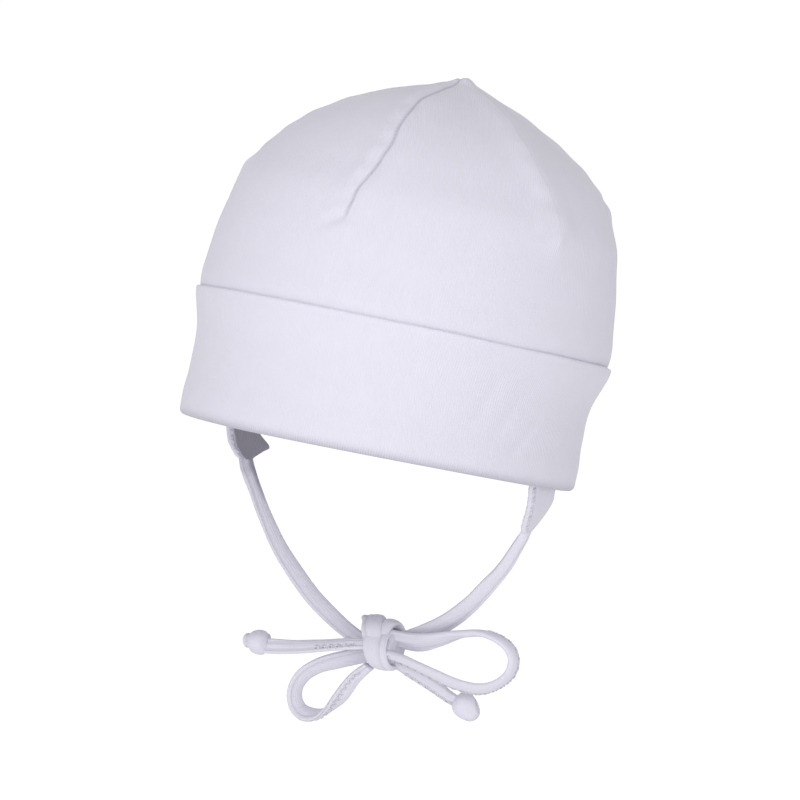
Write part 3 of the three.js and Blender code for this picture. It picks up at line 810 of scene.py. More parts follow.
@dataclass
class Cuff:
    """The turned-up rim: two layers with a soft fold below and a rolled fold above."""

    head: HeadFrame
    finish: JerseyFinish
    leg_wall: float = 1.6
    fold_wall: float = 2.9
    hem_height: float = 20.0
    waist_radius: float = 73.2
    columns: int = 420
    face_rows: int = 84
    leg_rows: int = 26
    inside_rows: int = 12
    fold_rows: int = 9
    rim_lift: float = 1.6
    rim_lift_angle: float = 52.0
    rim_lift_spread: float = 60.0
    rim_lift_up_to: float = 18.0
    droop: float = 1.4
    droop_high_angle: float = 38.0
    droop_from: float = 24.0
    top: float = 48.2
    edge_wave: float = 0.3
    edge_rise: float = 0.25
    wave_size: float = 22.0
    soft_height: float = 0.35
    soft_size: float = 45.0
    low_softness: float = 0.4
    roll_fullness: float = 1.1
    crease_depth: float = 0.35
    crease_half_width: float = 2.6
    crease_half_length: float = 9.0
    mm_per_degree: float = 1.28
    fold_shade: float = 0.4
    fold_shade_height: float = 2.2

    def profile(self) -> np.ndarray:
        """Works out the wall's outline, once round from the face to the lower fold.

        Returns:
            Lines of radius, height and lean.
        """
        table = np.array(CUFF_ROWS, float)
        face = read_table(table, even_places(table, (0, 1), self.face_rows))
        face = face[:, [1, 0, 2]]
        half = self.leg_wall / 2
        turn = np.linspace(0.0, math.pi, self.fold_rows)[1:-1]
        upper = np.stack([face[-1, 0] - half + half * np.cos(turn),
                          face[-1, 1] + self.roll_fullness * half * np.sin(turn),
                          np.full(len(turn), face[-1, 2])], axis=1)
        leg_heights = np.linspace(face[-1, 1], self.hem_height, self.leg_rows)
        leg = np.stack([np.interp(leg_heights, face[:, 1], face[:, 0]) - self.leg_wall, leg_heights,
                        np.interp(leg_heights, face[:, 1], face[:, 2])], axis=1)
        inside_radius = self.waist_radius - self.fold_wall
        inside_heights = np.linspace(self.hem_height, face[0, 1], self.inside_rows)
        inside = np.stack([np.full(self.inside_rows, inside_radius), inside_heights,
                           np.zeros(self.inside_rows)], axis=1)
        middle = (inside_radius + face[0, 0]) / 2
        reach = (face[0, 0] - inside_radius) / 2
        lower_turn = np.linspace(math.pi, 2 * math.pi, self.fold_rows + 2)[1:-1]
        lower = np.stack([middle + reach * np.cos(lower_turn),
                          face[0, 1] * (1 + np.sin(lower_turn)), np.zeros(len(lower_turn))], axis=1)
        return np.concatenate([face, upper, leg, inside, lower])

    def build(self) -> bpy.types.Object:
        """Builds the cuff.

        Returns:
            The cuff's object.
        """
        outline = self.profile()
        radius, height, back = (outline[:, k:k + 1] for k in range(3))
        angle = np.linspace(0.0, 360.0, self.columns, endpoint=False)[None, :] + 0 * radius
        rough = self.head.at(radius + 0 * angle, angle, height + 0 * angle, back + 0 * angle)
        high = smoothstep(height, self.droop_from, self.top)
        low = 1.0 - smoothstep(height, 0.0, self.rim_lift_up_to)
        lift = self.rim_lift * bell(angle_apart(angle, self.rim_lift_angle), self.rim_lift_spread)
        droop = self.droop * (1.0 - np.cos(np.radians(angle - self.droop_high_angle)))
        wave = soft_noise(rough, self.wave_size, 9.0)
        lumps = soft_noise(rough, self.soft_size, 2.0)
        softness = self.low_softness + (1.0 - self.low_softness) * high
        proud = self.soft_height * lumps * softness + self.edge_wave * wave * high**2
        proud -= self._creases(angle, height)
        raised = low * lift - high * droop + self.edge_rise * wave * high
        points = self.head.at(radius + proud, angle, height + raised, back)
        steps = np.linalg.norm(np.diff(outline[:, :2], axis=0), axis=1)
        along = np.concatenate([[0.0], np.cumsum(steps)])[:, None] + 0 * angle
        arc = np.radians(angle) * self.waist_radius
        step = 2 * math.pi * self.waist_radius / self.columns
        # Painted shade: the outer face darkens towards the lower fold, where little light reaches
        # it.
        outside = radius > self.waist_radius - 1.0
        shade = self.fold_shade * bell(height, self.fold_shade_height) * outside + 0 * angle
        skin = Skin(points, np.stack([arc, along], axis=-1), np.stack([arc + step, along], axis=-1),
                    shade, True)
        return settle(skin.build("cuff_fold", self.finish.material()), Slot.CUFF, "cuff")

    def _creases(self, angle: np.ndarray, height: np.ndarray) -> np.ndarray:
        """Presses in the faint slanting creases above the wearer's left ear tab.

        Args:
            angle: angle of each point.
            height: height of each row, as a column.

        Returns:
            The depth in millimetres.
        """
        pressed = 0.0 * angle
        for crease in CUFF_CREASES:
            above = height - crease.height
            across = angle_apart(angle, crease.angle) * self.mm_per_degree - crease.slant * above
            pressed = pressed + (self.crease_depth * bell(across, self.crease_half_width)
                                 * bell(above, self.crease_half_length))
        return pressed


# Bands of cloth: ties and tabs


class TieRow(NamedTuple):
    """Section of a tie: its middle, its breadth and how far its face turns from forward."""

    x: float
    y: float
    z: float
    width: float
    turn: float


@dataclass
class Tie:
    """Flat tube of jersey, closed along one edge by a line of zigzag stitches.

    The stitches run from one share of the length to another, on the facing side or, where
    stitched_face is -1, behind. A gathered end is pleated by the knot. A tucked end is thin over
    that length, where it is sewn under a tab, and a shaded one has the tab's shadow painted on the
    rear half of its facing side over that length.
    """

    name: str
    rows: Sequence[TieRow]
    stitched: Edge
    stitched_face: float = 1.0
    stitch_from: float = 0.02
    stitch_to: float = 0.98
    gathered_start: float = 0.0
    gathered_end: float = 0.0
    tucked: float = 0.0
    shaded: float = 0.0
    thickness: float = 2.5
    closed: bool = False
    fullness: float = 2.86
    half_outline: int = 16
    step: float = 0.8
    flange_from: float = 0.17
    flange_thinning: float = 0.15
    groove_place: float = 0.25
    groove_depth: float = 0.3
    groove_half_width: float = 0.045
    groove_shade: float = 0.35
    tube_swell: float = 0.12
    tube_place: float = -0.12
    tube_half_width: float = 0.26
    tuck_thinness: float = 0.22
    tuck_from: float = 0.7
    tuck_to: float = 1.8
    shadow_depth: float = 0.85
    shadow_full: float = 0.35
    shadow_from: float = 0.0
    shadow_to: float = 0.3
    gather_height: float = 0.5
    gather_reach: float = 14.0
    gather_folds: float = 2.6
    gather_phase: float = 0.12
    gather_level: float = 0.3
    least_height: float = 0.02
    ripple: float = 0.13
    ripple_length: float = 4.1
    slow_ripple_length: float = 6.7
    ripple_slant: float = 3.0
    place: Callable[[np.ndarray], np.ndarray] = field(default=lambda points: points)

    def __post_init__(self) -> None:
        """Reads the table at even steps and sets up the frame along the tie."""
        table = np.array(self.rows, float)
        if self.closed:
            table = np.vstack([table[-2], table, table[1]])
        lap = 1 if self.closed else 0
        fine = np.linspace(lap, len(table) - 1.0 - lap, 40 * len(table))
        steps = np.linalg.norm(np.diff(read_table(table, fine)[:, :3], axis=0), axis=1)
        run_length = np.concatenate([[0.0], np.cumsum(steps)])
        self.length = float(run_length[-1])
        count = max(int(self.length / self.step), 8)
        spots = np.linspace(0.0, self.length, count + lap)[:count]
        values = read_table(table, np.interp(spots, run_length, fine))
        self.middle = values[:, :3]
        self.width = values[:, 3]
        run = np.gradient(self.middle, axis=0)
        if self.closed:
            run = np.roll(self.middle, -1, axis=0) - np.roll(self.middle, 1, axis=0)
        self.run = run / np.linalg.norm(run, axis=1, keepdims=True)
        forward = np.array([0.0, -1.0, 0.0])
        flat = forward - self.run * (self.run @ forward)[:, None]
        flat /= np.linalg.norm(flat, axis=1, keepdims=True)
        turn = np.radians(values[:, 4])[:, None]
        self.facing = flat * np.cos(turn) + np.cross(self.run, flat) * np.sin(turn)
        self.across = np.cross(self.facing, self.run)
        self.along = spots

    def half_thickness(self, share: np.ndarray, along: np.ndarray) -> np.ndarray:
        """Gives the tie's half thickness, fuller in the tube and thin in the stitched edge.

        Args:
            share: place across the tie, from -0.5 to 0.5 at its stitched edge.
            along: distance along the tie in millimetres.

        Returns:
            Half thickness in millimetres.
        """
        hump = np.maximum(1.0 - np.abs(2 * share) ** self.fullness, 0.0) ** (1 / self.fullness)
        tube = 1.0 + self.tube_swell * bell(share - self.tube_place, self.tube_half_width)
        tube = tube - self.flange_thinning * smoothstep(share, self.flange_from, self.groove_place)
        groove = self.groove_depth * bell(share - self.groove_place, self.groove_half_width)
        height = 0.5 * self.thickness * hump * tube - groove * hump
        if self.tucked:
            free = smoothstep(along, self.tuck_from * self.tucked, self.tuck_to * self.tucked)
            height = height * (self.tuck_thinness + (1.0 - self.tuck_thinness) * free)
        gather = (self.gathered_start * bell(along, self.gather_reach)
                  + self.gathered_end * bell(self.length - along, self.gather_reach))
        pleats = np.cos(2 * np.pi * (self.gather_folds * share + self.gather_phase))
        folds = self.gather_height * gather * (pleats - self.gather_level)
        return np.maximum(height + folds * hump, self.least_height * hump)

    def surface(self, index: np.ndarray, share: np.ndarray, face: np.ndarray) -> np.ndarray:
        """Finds points on the tie's skin.

        Args:
            index: number of the section along the tie.
            share: place across, from -0.5 to 0.5 in the frame's own direction.
            face: 1 on the facing side and -1 behind.

        Returns:
            The points in millimetres.
        """
        along = self.along[index]
        thick = self.half_thickness(share * self.stitched.value, along)
        sag = (self.ripple * np.sin(along / self.ripple_length)
               * np.sin(along / self.slow_ripple_length + self.ripple_slant * share))
        return (self.middle[index] + self.across[index] * (share * self.width[index])[..., None]
                + self.facing[index] * (face * thick + sag)[..., None])

    def build(self, material: bpy.types.Material) -> bpy.types.Object:
        """Builds the tie's closed skin.

        Args:
            material: the tie's finish.

        Returns:
            The tie's object.
        """
        turn = np.linspace(0.0, math.pi, self.half_outline + 1)
        front = 0.5 * np.cos(turn)
        share = np.concatenate([front, front[-2:0:-1]])
        face = np.concatenate([np.ones(len(front)), -np.ones(len(front) - 2)])
        count = len(self.middle)
        index = np.repeat(np.arange(count)[:, None], len(share), axis=1)
        shares = np.repeat(share[None, :], count, axis=0)
        faces = np.repeat(face[None, :], count, axis=0)
        points = self.place(self.surface(index, shares, faces))
        edge = shares * self.stitched.value
        # Painted shade in the stitched groove.
        shade = self.groove_shade * bell(edge - self.groove_place, self.groove_half_width)
        # Painted shadow of the tab: the rear half of the facing side darkens over the shaded
        # length.
        if self.shaded:
            dark = 1.0 - smoothstep(self.along, self.shadow_full * self.shaded, self.shaded)
            rear = smoothstep(share, self.shadow_from, self.shadow_to) * (face > 0)
            shade = np.maximum(shade, self.shadow_depth * dark[:, None] * rear[None, :])
        around = np.where(face > 0, share, 1.0 - share)
        across = around[None, :] * self.width[:, None]
        next_across = np.roll(around, -1)[None, :] * self.width[:, None]
        along = np.repeat(self.along[:, None], len(share), axis=1)
        skin = Skin(points, np.stack([across, along], axis=-1),
                    np.stack([next_across, along], axis=-1), shade, self.closed)
        return skin.build(self.name, material)

    def stitches(self, pitch: float = 1.6, reach: float = 0.17) -> list[np.ndarray]:
        """Lays the zigzag line of stitches over the groove, on the stitched face.

        Args:
            pitch: length of one stitch along the tie.
            reach: how far a stitch swings across the tie, as a share of its width.

        Returns:
            One short path of points for each stitch.
        """
        paths = []
        start, end = self.stitch_from * self.length, self.stitch_to * self.length
        lift = self.stitched_face * np.array([-0.12, 0.16, 0.22, 0.16, -0.12])
        number = 0
        while start + 0.8 * pitch < end:
            swing = reach if number % 2 else -reach
            swings = np.linspace(-swing, swing, STITCH_POINTS)
            shares = (self.groove_place + swings) * self.stitched.value
            spots = np.linspace(start, start + 0.75 * pitch, STITCH_POINTS)
            index = np.clip(np.searchsorted(self.along, spots), 0, len(self.along) - 1)
            path = self.surface(index, shares, np.full(STITCH_POINTS, self.stitched_face))
            paths.append(self.place(path + self.facing[index] * lift[:, None]))
            start += pitch
            number += 1
        return paths


@dataclass
class WrappedTie(Tie):
    """Tie that is wound round something, so that its face looks away from the middle."""

    def __post_init__(self) -> None:
        """Turns the face outwards all the way, from the middle of the table's points."""
        super().__post_init__()
        centre = np.array([[row.x, row.y, row.z] for row in self.rows]).mean(axis=0)
        outward = self.middle - centre
        sideways = np.array([1.0, 0.0, 0.0])
        outward -= sideways * (outward @ sideways)[:, None]
        outward -= self.run * np.sum(outward * self.run, axis=1, keepdims=True)
        self.facing = outward / np.linalg.norm(outward, axis=1, keepdims=True)
        self.across = np.cross(self.facing, self.run)


@dataclass
class Thread:
    """All the stitches of one seam, each a short round-ended length of thread."""

    radius: float = 0.28
    sides: int = 6
    end_share: float = 0.45
    slant: tuple[float, float, float] = (0.31, 0.52, 0.79)

    def build(self, name: str, paths: list[np.ndarray], material: bpy.types.Material
              ) -> bpy.types.Object:
        """Builds the stitches as one joined mesh.

        Args:
            name: the piece's name.
            paths: one array of points for each stitch.
            material: the thread's finish.

        Returns:
            The stitches' object.
        """
        points, faces, uvs = [], [], []
        start = 0
        turn = np.linspace(0, 2 * math.pi, self.sides, endpoint=False)
        for path in paths:
            run = np.gradient(path, axis=0)
            run /= np.linalg.norm(run, axis=1, keepdims=True)
            side = np.cross(run, self.slant)
            side /= np.linalg.norm(side, axis=1, keepdims=True)
            up = np.cross(run, side)
            swell = self.radius * np.ones(len(path))
            swell[[0, -1]] *= self.end_share
            ring = (side[:, None, :] * np.cos(turn)[None, :, None]
                    + up[:, None, :] * np.sin(turn)[None, :, None])
            points.append((path[:, None, :] + ring * swell[:, None, None]).reshape(-1, 3))
            rows = len(path)
            for i in range(rows - 1):
                for j in range(self.sides):
                    k = (j + 1) % self.sides
                    a, b = start + i * self.sides, start + (i + 1) * self.sides
                    faces.append([a + j, a + k, b + k, b + j])
                    uvs.extend([[i, j], [i, j + 1], [i + 1, j + 1], [i + 1, j]])
            for i, order in ((0, -1), (rows - 1, 1)):
                cap = [start + i * self.sides + j for j in range(self.sides)][::order]
                faces.append(cap)
                uvs.extend([[i, j] for j in range(self.sides)])
            start += rows * self.sides
        cloud = np.concatenate(points)
        return make_piece(name, cloud, faces, np.array(uvs, float), np.zeros(len(cloud)), material)


class TabRow(NamedTuple):
    """Section of an ear tab: its two edges round the rim and how far it hangs inwards."""

    drop: float
    front: float
    rear: float
    inward: float


LEFT_TAB_ROWS = (
    TabRow(-14, 3, 24.8, 0),
    TabRow(-5, 3, 25.2, 0),
    TabRow(0, 3.6, 25.8, 0.2),
    TabRow(3.6, 4.8, 27, 0.4),
    TabRow(7.8, 6, 23.4, 0.9),
    TabRow(11.4, 6.6, 19.6, 1.5),
    TabRow(14.4, 7.2, 16, 2),
    TabRow(16.2, 9, 13.6, 2.3),
)
RIGHT_TAB_ROWS = (
    TabRow(-14, -3.6, 15.2, 0),
    TabRow(-5, -3.6, 15.2, 0),
    TabRow(0, -3.6, 15, 0.2),
    TabRow(4, -3, 15.6, 0.4),
    TabRow(8.6, -1.2, 21.4, 0.8),
    TabRow(11, 0.8, 18.4, 1.2),
    TabRow(13.4, 3.4, 14.4, 1.7),
    TabRow(14.6, 5.4, 12.8, 2),
)


@dataclass
class EarTab:
    """Small tab of jersey sewn inside the rim, bound along its front edge."""

    name: str
    node: str
    rows: Sequence[TabRow]
    side: int
    head: HeadFrame
    wall: float = 1.5
    outer_radius: float = 69.8
    front_angle: float = 88.0
    half_outline: int = 30
    row_count: int = 60
    binding_width: float = 2.6
    binding_height: float = 0.24
    binding_slope: tuple[float, float] = (-0.25, 0.15)
    groove_beyond: float = 0.2
    groove_depth: float = 0.22
    groove_half_width: float = 0.3
    groove_shade: float = 0.3
    groove_shade_half_width: float = 0.35
    inner_shade: float = 0.95
    inner_shade_from: float = 0.9
    inner_shade_full: float = 1.4
    stitches_from: float = -4.0
    stitches_end: float = 0.5
    stitch_swing: float = 0.6
    stitch_place: float = 0.6
    blunt: float = 14.0

    def section(self, place: np.ndarray, share: np.ndarray, face: np.ndarray) -> np.ndarray:
        """Finds points on the tab's skin.

        Args:
            place: place along the table's rows.
            share: place from the front edge, 0, to the rear edge, 1.
            face: 1 outside and -1 inside.

        Returns:
            The points in millimetres.
        """
        values = read_table(np.array(self.rows, float), place.ravel()).reshape(*place.shape, 4)
        drop, front, rear, inward = (values[..., k] for k in range(4))
        along = front + share * (rear - front)
        hump = np.sqrt(np.maximum(1.0 - np.abs(2 * share - 1) ** self.blunt, 0.0))
        inset = share * (rear - front)
        slope_start, slope_end = (self.binding_width + step for step in self.binding_slope)
        bound = 1.0 - smoothstep(inset, slope_start, slope_end)
        beyond = inset - self.binding_width - self.groove_beyond
        groove = self.groove_depth * bell(beyond, self.groove_half_width)
        half = hump * (self.wall / 2 + self.binding_height * bound - groove)
        radius = self.outer_radius - self.wall / 2 - inward + face * half
        angle = self.front_angle + np.degrees(along / self.outer_radius)
        return self.head.at(radius, self.side * angle, -drop, 0.0 * drop)

    def build(self, material: bpy.types.Material) -> bpy.types.Object:
        """Builds the tab's closed skin.

        Args:
            material: the tab's finish.

        Returns:
            The tab's object.
        """
        turn = np.linspace(0.0, math.pi, self.half_outline + 1)
        front = 0.5 + 0.5 * np.cos(turn)
        share = np.concatenate([front, front[-2:0:-1]])
        face = np.concatenate([np.ones(len(front)), -np.ones(len(front) - 2)])
        if self.side > 0:
            share, face = share[::-1], face[::-1]
        places = np.linspace(0.0, len(self.rows) - 1.0, self.row_count)
        grid_place = np.repeat(places[:, None], len(share), axis=1)
        grid_share = np.repeat(share[None, :], self.row_count, axis=0)
        grid_face = np.repeat(face[None, :], self.row_count, axis=0)
        points = self.section(grid_place, grid_share, grid_face)
        values = read_table(np.array(self.rows, float), places)
        breadth = (values[:, 2] - values[:, 1])[:, None]
        across = grid_share * breadth
        following = np.roll(grid_share, -1, axis=1) * breadth
        along = np.repeat(values[:, 0:1], len(share), axis=1)
        beyond = across - self.binding_width
        # Painted shadow: the inner face beyond the binding is darkened, for the shade of the head
        # the cap is worn on.
        inner = (grid_face < 0) * smoothstep(beyond, self.inner_shade_from, self.inner_shade_full)
        # Painted shade in the groove beside the binding.
        groove = bell(beyond - self.groove_beyond, self.groove_shade_half_width)
        shade = np.maximum(self.groove_shade * groove, self.inner_shade * inner)
        skin = Skin(points, np.stack([across, along], axis=-1),
                    np.stack([following, along], axis=-1), shade)
        return settle(skin.build(self.name, material), Slot.TAB, self.node)

    def stitches(self, pitch: float = 1.7) -> list[np.ndarray]:
        """Lays the stitches that hold the binding, on both faces of the tab.

        Args:
            pitch: length of one stitch down the tab.

        Returns:
            One short path of points for each stitch.
        """
        paths = []
        values = np.array(self.rows, float)
        lift = np.array([-0.3, 0.6, 0.8, 0.6, -0.3])[:, None]
        drop = self.stitches_from
        number = 0
        while drop + pitch < values[-1, 0] - self.stitches_end:
            drops = np.linspace(drop, drop + 0.75 * pitch, STITCH_POINTS)
            spots = np.interp(drops, values[:, 0], np.arange(len(values)))
            width = np.interp(spots, np.arange(len(values)), values[:, 2] - values[:, 1])
            swing = self.stitch_swing if number % 2 else -self.stitch_swing
            swings = np.linspace(-swing, swing, STITCH_POINTS)
            shares = (self.stitch_place * self.binding_width + swings) / width
            for face in (1.0, -1.0):
                path = self.section(spots, shares, np.full(STITCH_POINTS, face))
                above = self.section(spots, shares, np.full(STITCH_POINTS, face * 1.3))
                paths.append(path + (above - path) * lift)
            drop += pitch
            number += 1
        return paths


# The bow


@dataclass(frozen=True)
class BowFrame:
    """The frame of the bow, from the middle of its knot."""

    x: float = 1.2
    y: float = -52.0
    z: float = -204.7
    turn: float = 6.0

    def place(self, points: np.ndarray) -> np.ndarray:
        """Moves points from the bow's frame into the CAD's frame.

        Args:
            points: positions in millimetres.

        Returns:
            The moved positions.
        """
        turn = math.radians(self.turn)
        x = points[..., 0] * math.cos(turn) - points[..., 1] * math.sin(turn)
        y = points[..., 0] * math.sin(turn) + points[..., 1] * math.cos(turn)
        return np.stack([x + self.x, y + self.y, points[..., 2] + self.z], axis=-1)


LEFT_STRAP_ROWS = (
    TieRow(65.9, -44.7, -141.8, 4.4, -82),
    TieRow(65.6, -46.2, -143.9, 4.6, -80),
    TieRow(65, -47.6, -146.8, 4.4, -66),
    TieRow(62.4, -47.9, -151.5, 4.6, -52),
    TieRow(56.4, -47.7, -161, 5.3, -46),
    TieRow(49.2, -47.4, -169.7, 6.2, -42),
    TieRow(41.8, -47, -178.1, 6.6, -36),
    TieRow(34.2, -46.5, -185.3, 6.9, -28),
    TieRow(26.4, -46, -191.3, 6.9, -20),
    TieRow(18.9, -45.6, -195.8, 6.5, -14),
    TieRow(11.5, -45.2, -199.8, 6, -10),
    TieRow(3, -44.9, -204.1, 5.4, -10),
)
RIGHT_STRAP_ROWS = (
    TieRow(-66, -48.2, -143.6, 7, -86),
    TieRow(-65.4, -48.4, -145, 7, -84),
    TieRow(-64.8, -48.6, -147, 6.8, -80),
    TieRow(-63.4, -48.5, -150.8, 6, -76),
    TieRow(-60.7, -48.3, -156.7, 5.4, -70),
    TieRow(-56.9, -48.1, -164.8, 5.5, -62),
    TieRow(-50.2, -47.6, -176.5, 6.1, -50),
    TieRow(-42.6, -47, -185.7, 6.6, -46),
    TieRow(-35, -46.5, -193.3, 6.6, -40),
    TieRow(-27.4, -46.1, -198.7, 6.6, -36),
    TieRow(-19.4, -45.6, -203.4, 6.2, -32),
    TieRow(-12.4, -45.3, -206.1, 5.8, -26),
    TieRow(-4, -45.1, -207.7, 5.2, -20),
)
LEFT_LOOP_ROWS = (
    TieRow(3, 2, 5.2, 6, 8),
    TieRow(12, 1.4, 5.2, 7.2, 6),
    TieRow(19, 0.8, 6.4, 7.6, 12),
    TieRow(27, 0.2, 9.5, 7, 34),
    TieRow(35.5, -0.2, 13.1, 6.2, 58),
    TieRow(45.2, -0.6, 15.8, 6, 74),
    TieRow(52.6, -0.8, 15.3, 6, 82),
    TieRow(57.5, -0.8, 12.6, 6, 90),
    TieRow(59.2, -0.8, 8.2, 6, 98),
    TieRow(57.9, -1, 3, 6, 108),
    TieRow(54.2, -1.4, -1.2, 6, 118),
    TieRow(49, -1.8, -4.3, 6, 132),
    TieRow(43.2, -2.2, -5.8, 6.2, 144),
    TieRow(35, -2.6, -5.3, 6.4, 150),
    TieRow(27, -2.9, -3.6, 6, 152),
    TieRow(19.5, -3.1, -1.8, 5.8, 150),
    TieRow(12.5, -3.2, -0.4, 5.4, 148),
    TieRow(3, -3, 0, 4.8, 144),
)
RIGHT_LOOP_ROWS = (
    TieRow(-2, 2.4, -2.8, 5.6, -16),
    TieRow(-11, 2.4, -6.2, 6.6, -16),
    TieRow(-20, 2, -9.8, 6.8, -20),
    TieRow(-27.5, 1.6, -13.3, 6.6, -30),
    TieRow(-33.6, 1.2, -17.9, 6.4, -42),
    TieRow(-37.2, 0.8, -23.2, 6.4, -54),
    TieRow(-37.8, 0.4, -28.4, 6.4, -60),
    TieRow(-35.6, 0, -32.2, 6.6, -64),
    TieRow(-31.4, -0.4, -33.4, 7, -64),
    TieRow(-26, -0.8, -32.1, 6.8, -77),
    TieRow(-20.8, -1.2, -28.3, 6.8, -99),
    TieRow(-16, -1.8, -23, 6.6, -123),
    TieRow(-11.6, -2.4, -17, 6, -138),
    TieRow(-7.2, -2.8, -11.4, 5.2, -138),
    TieRow(-1.5, -3, -6, 4.4, -134),
)
LEFT_TAIL_ROWS = (
    TieRow(2.5, 1.4, -2.6, 4.8, 10),
    TieRow(10, 0.6, -4.5, 5.8, 8),
    TieRow(17, 0.4, -6.9, 6, 6),
    TieRow(24.4, 0.8, -9.9, 6, 4),
    TieRow(31, 2.4, -14, 5.2, 4),
    TieRow(35.6, 3.2, -15.8, 4.8, 4),
)
RIGHT_TAIL_ROWS = (
    TieRow(-2, -2.8, 2.6, 4.6, 46),
    TieRow(-12, -3.2, 0.4, 4.8, 46),
    TieRow(-24.6, -3.4, -2.9, 5.2, 44),
    TieRow(-36, -3.4, -5.7, 5.6, 38),
    TieRow(-46, -3.4, -7.5, 6, 30),
    TieRow(-52, -3.2, -8.2, 5.4, 28),
)


@dataclass
class Ties:
    """The two straps, the bow's two loops and its two free ends."""

    finish: JerseyFinish
    thread: ThreadFinish
    bow: BowFrame

    def build(self) -> list[bpy.types.Object]:
        """Builds the six lengths of tie and the stitches along their edges.

        Returns:
            The ties' objects.
        """
        place = self.bow.place
        ties = {
            "tie_strap_left": Tie(
                "strap_left", LEFT_STRAP_ROWS, Edge.FAR, stitched_face=-1.0, stitch_from=0.08,
                gathered_end=0.6, tucked=4.5),
            "tie_strap_right": Tie(
                "strap_right", RIGHT_STRAP_ROWS, Edge.NEAR, stitched_face=-1.0, stitch_from=0.08,
                gathered_end=0.6, tucked=4.5, shaded=22.0),
            "bow_loop_left": Tie(
                "loop_left", LEFT_LOOP_ROWS, Edge.NEAR, stitched_face=-1.0, stitch_from=0.36,
                stitch_to=0.97, gathered_start=1.0, gathered_end=0.7, place=place),
            "bow_loop_right": Tie(
                "loop_right", RIGHT_LOOP_ROWS, Edge.NEAR, stitched_face=-1.0, stitch_from=0.5,
                stitch_to=0.96, gathered_start=0.4, gathered_end=0.6, thickness=2.7, place=place),
            "tie_tail_left": Tie(
                "tail_left", LEFT_TAIL_ROWS, Edge.NEAR, stitch_from=0.3, stitch_to=0.96,
                gathered_start=0.6, gathered_end=0.3, place=place),
            "tie_tail_right": Tie(
                "tail_right", RIGHT_TAIL_ROWS, Edge.FAR, stitch_from=0.08, stitch_to=0.45,
                gathered_start=0.4, gathered_end=0.7, place=place),
        }
        cloth = self.finish.material()
        cotton = self.thread.material()
        made = []
        for node, tie in ties.items():
            made.append(settle(tie.build(cloth), Slot.TIE, node))
            sewn = Thread().build(f"stitches_{tie.name}", tie.stitches(), cotton)
            made.append(settle(sewn, Slot.TIE))
        return made


RIGHT_FOLD_ROWS = (
    TieRow(0.4, -3.4, 4.6, 8, 0),
    TieRow(-1.2, -1.8, 8.8, 8.2, 0),
    TieRow(-3, 2.4, 10.2, 8.4, 0),
    TieRow(-5.2, 6.4, 8.6, 9.6, 0),
    TieRow(-4.6, 9, 4.6, 8.2, 0),
    TieRow(-3, 9.8, -0.6, 7.6, 0),
    TieRow(-0.6, 8.6, -5.4, 7, 0),
)
LEFT_FOLD_ROWS = (
    TieRow(2.4, -1.8, 3, 5.4, 0),
    TieRow(2.8, -0.8, 7.4, 5.8, 0),
    TieRow(3.2, 2.4, 9.8, 6.2, 0),
    TieRow(3.8, 6.4, 8.4, 6.4, 0),
    TieRow(4, 9, 4, 6.6, 0),
    TieRow(3.4, 9.4, -1.6, 6.6, 0),
    TieRow(1.6, 8, -5.6, 6.4, 0),
)


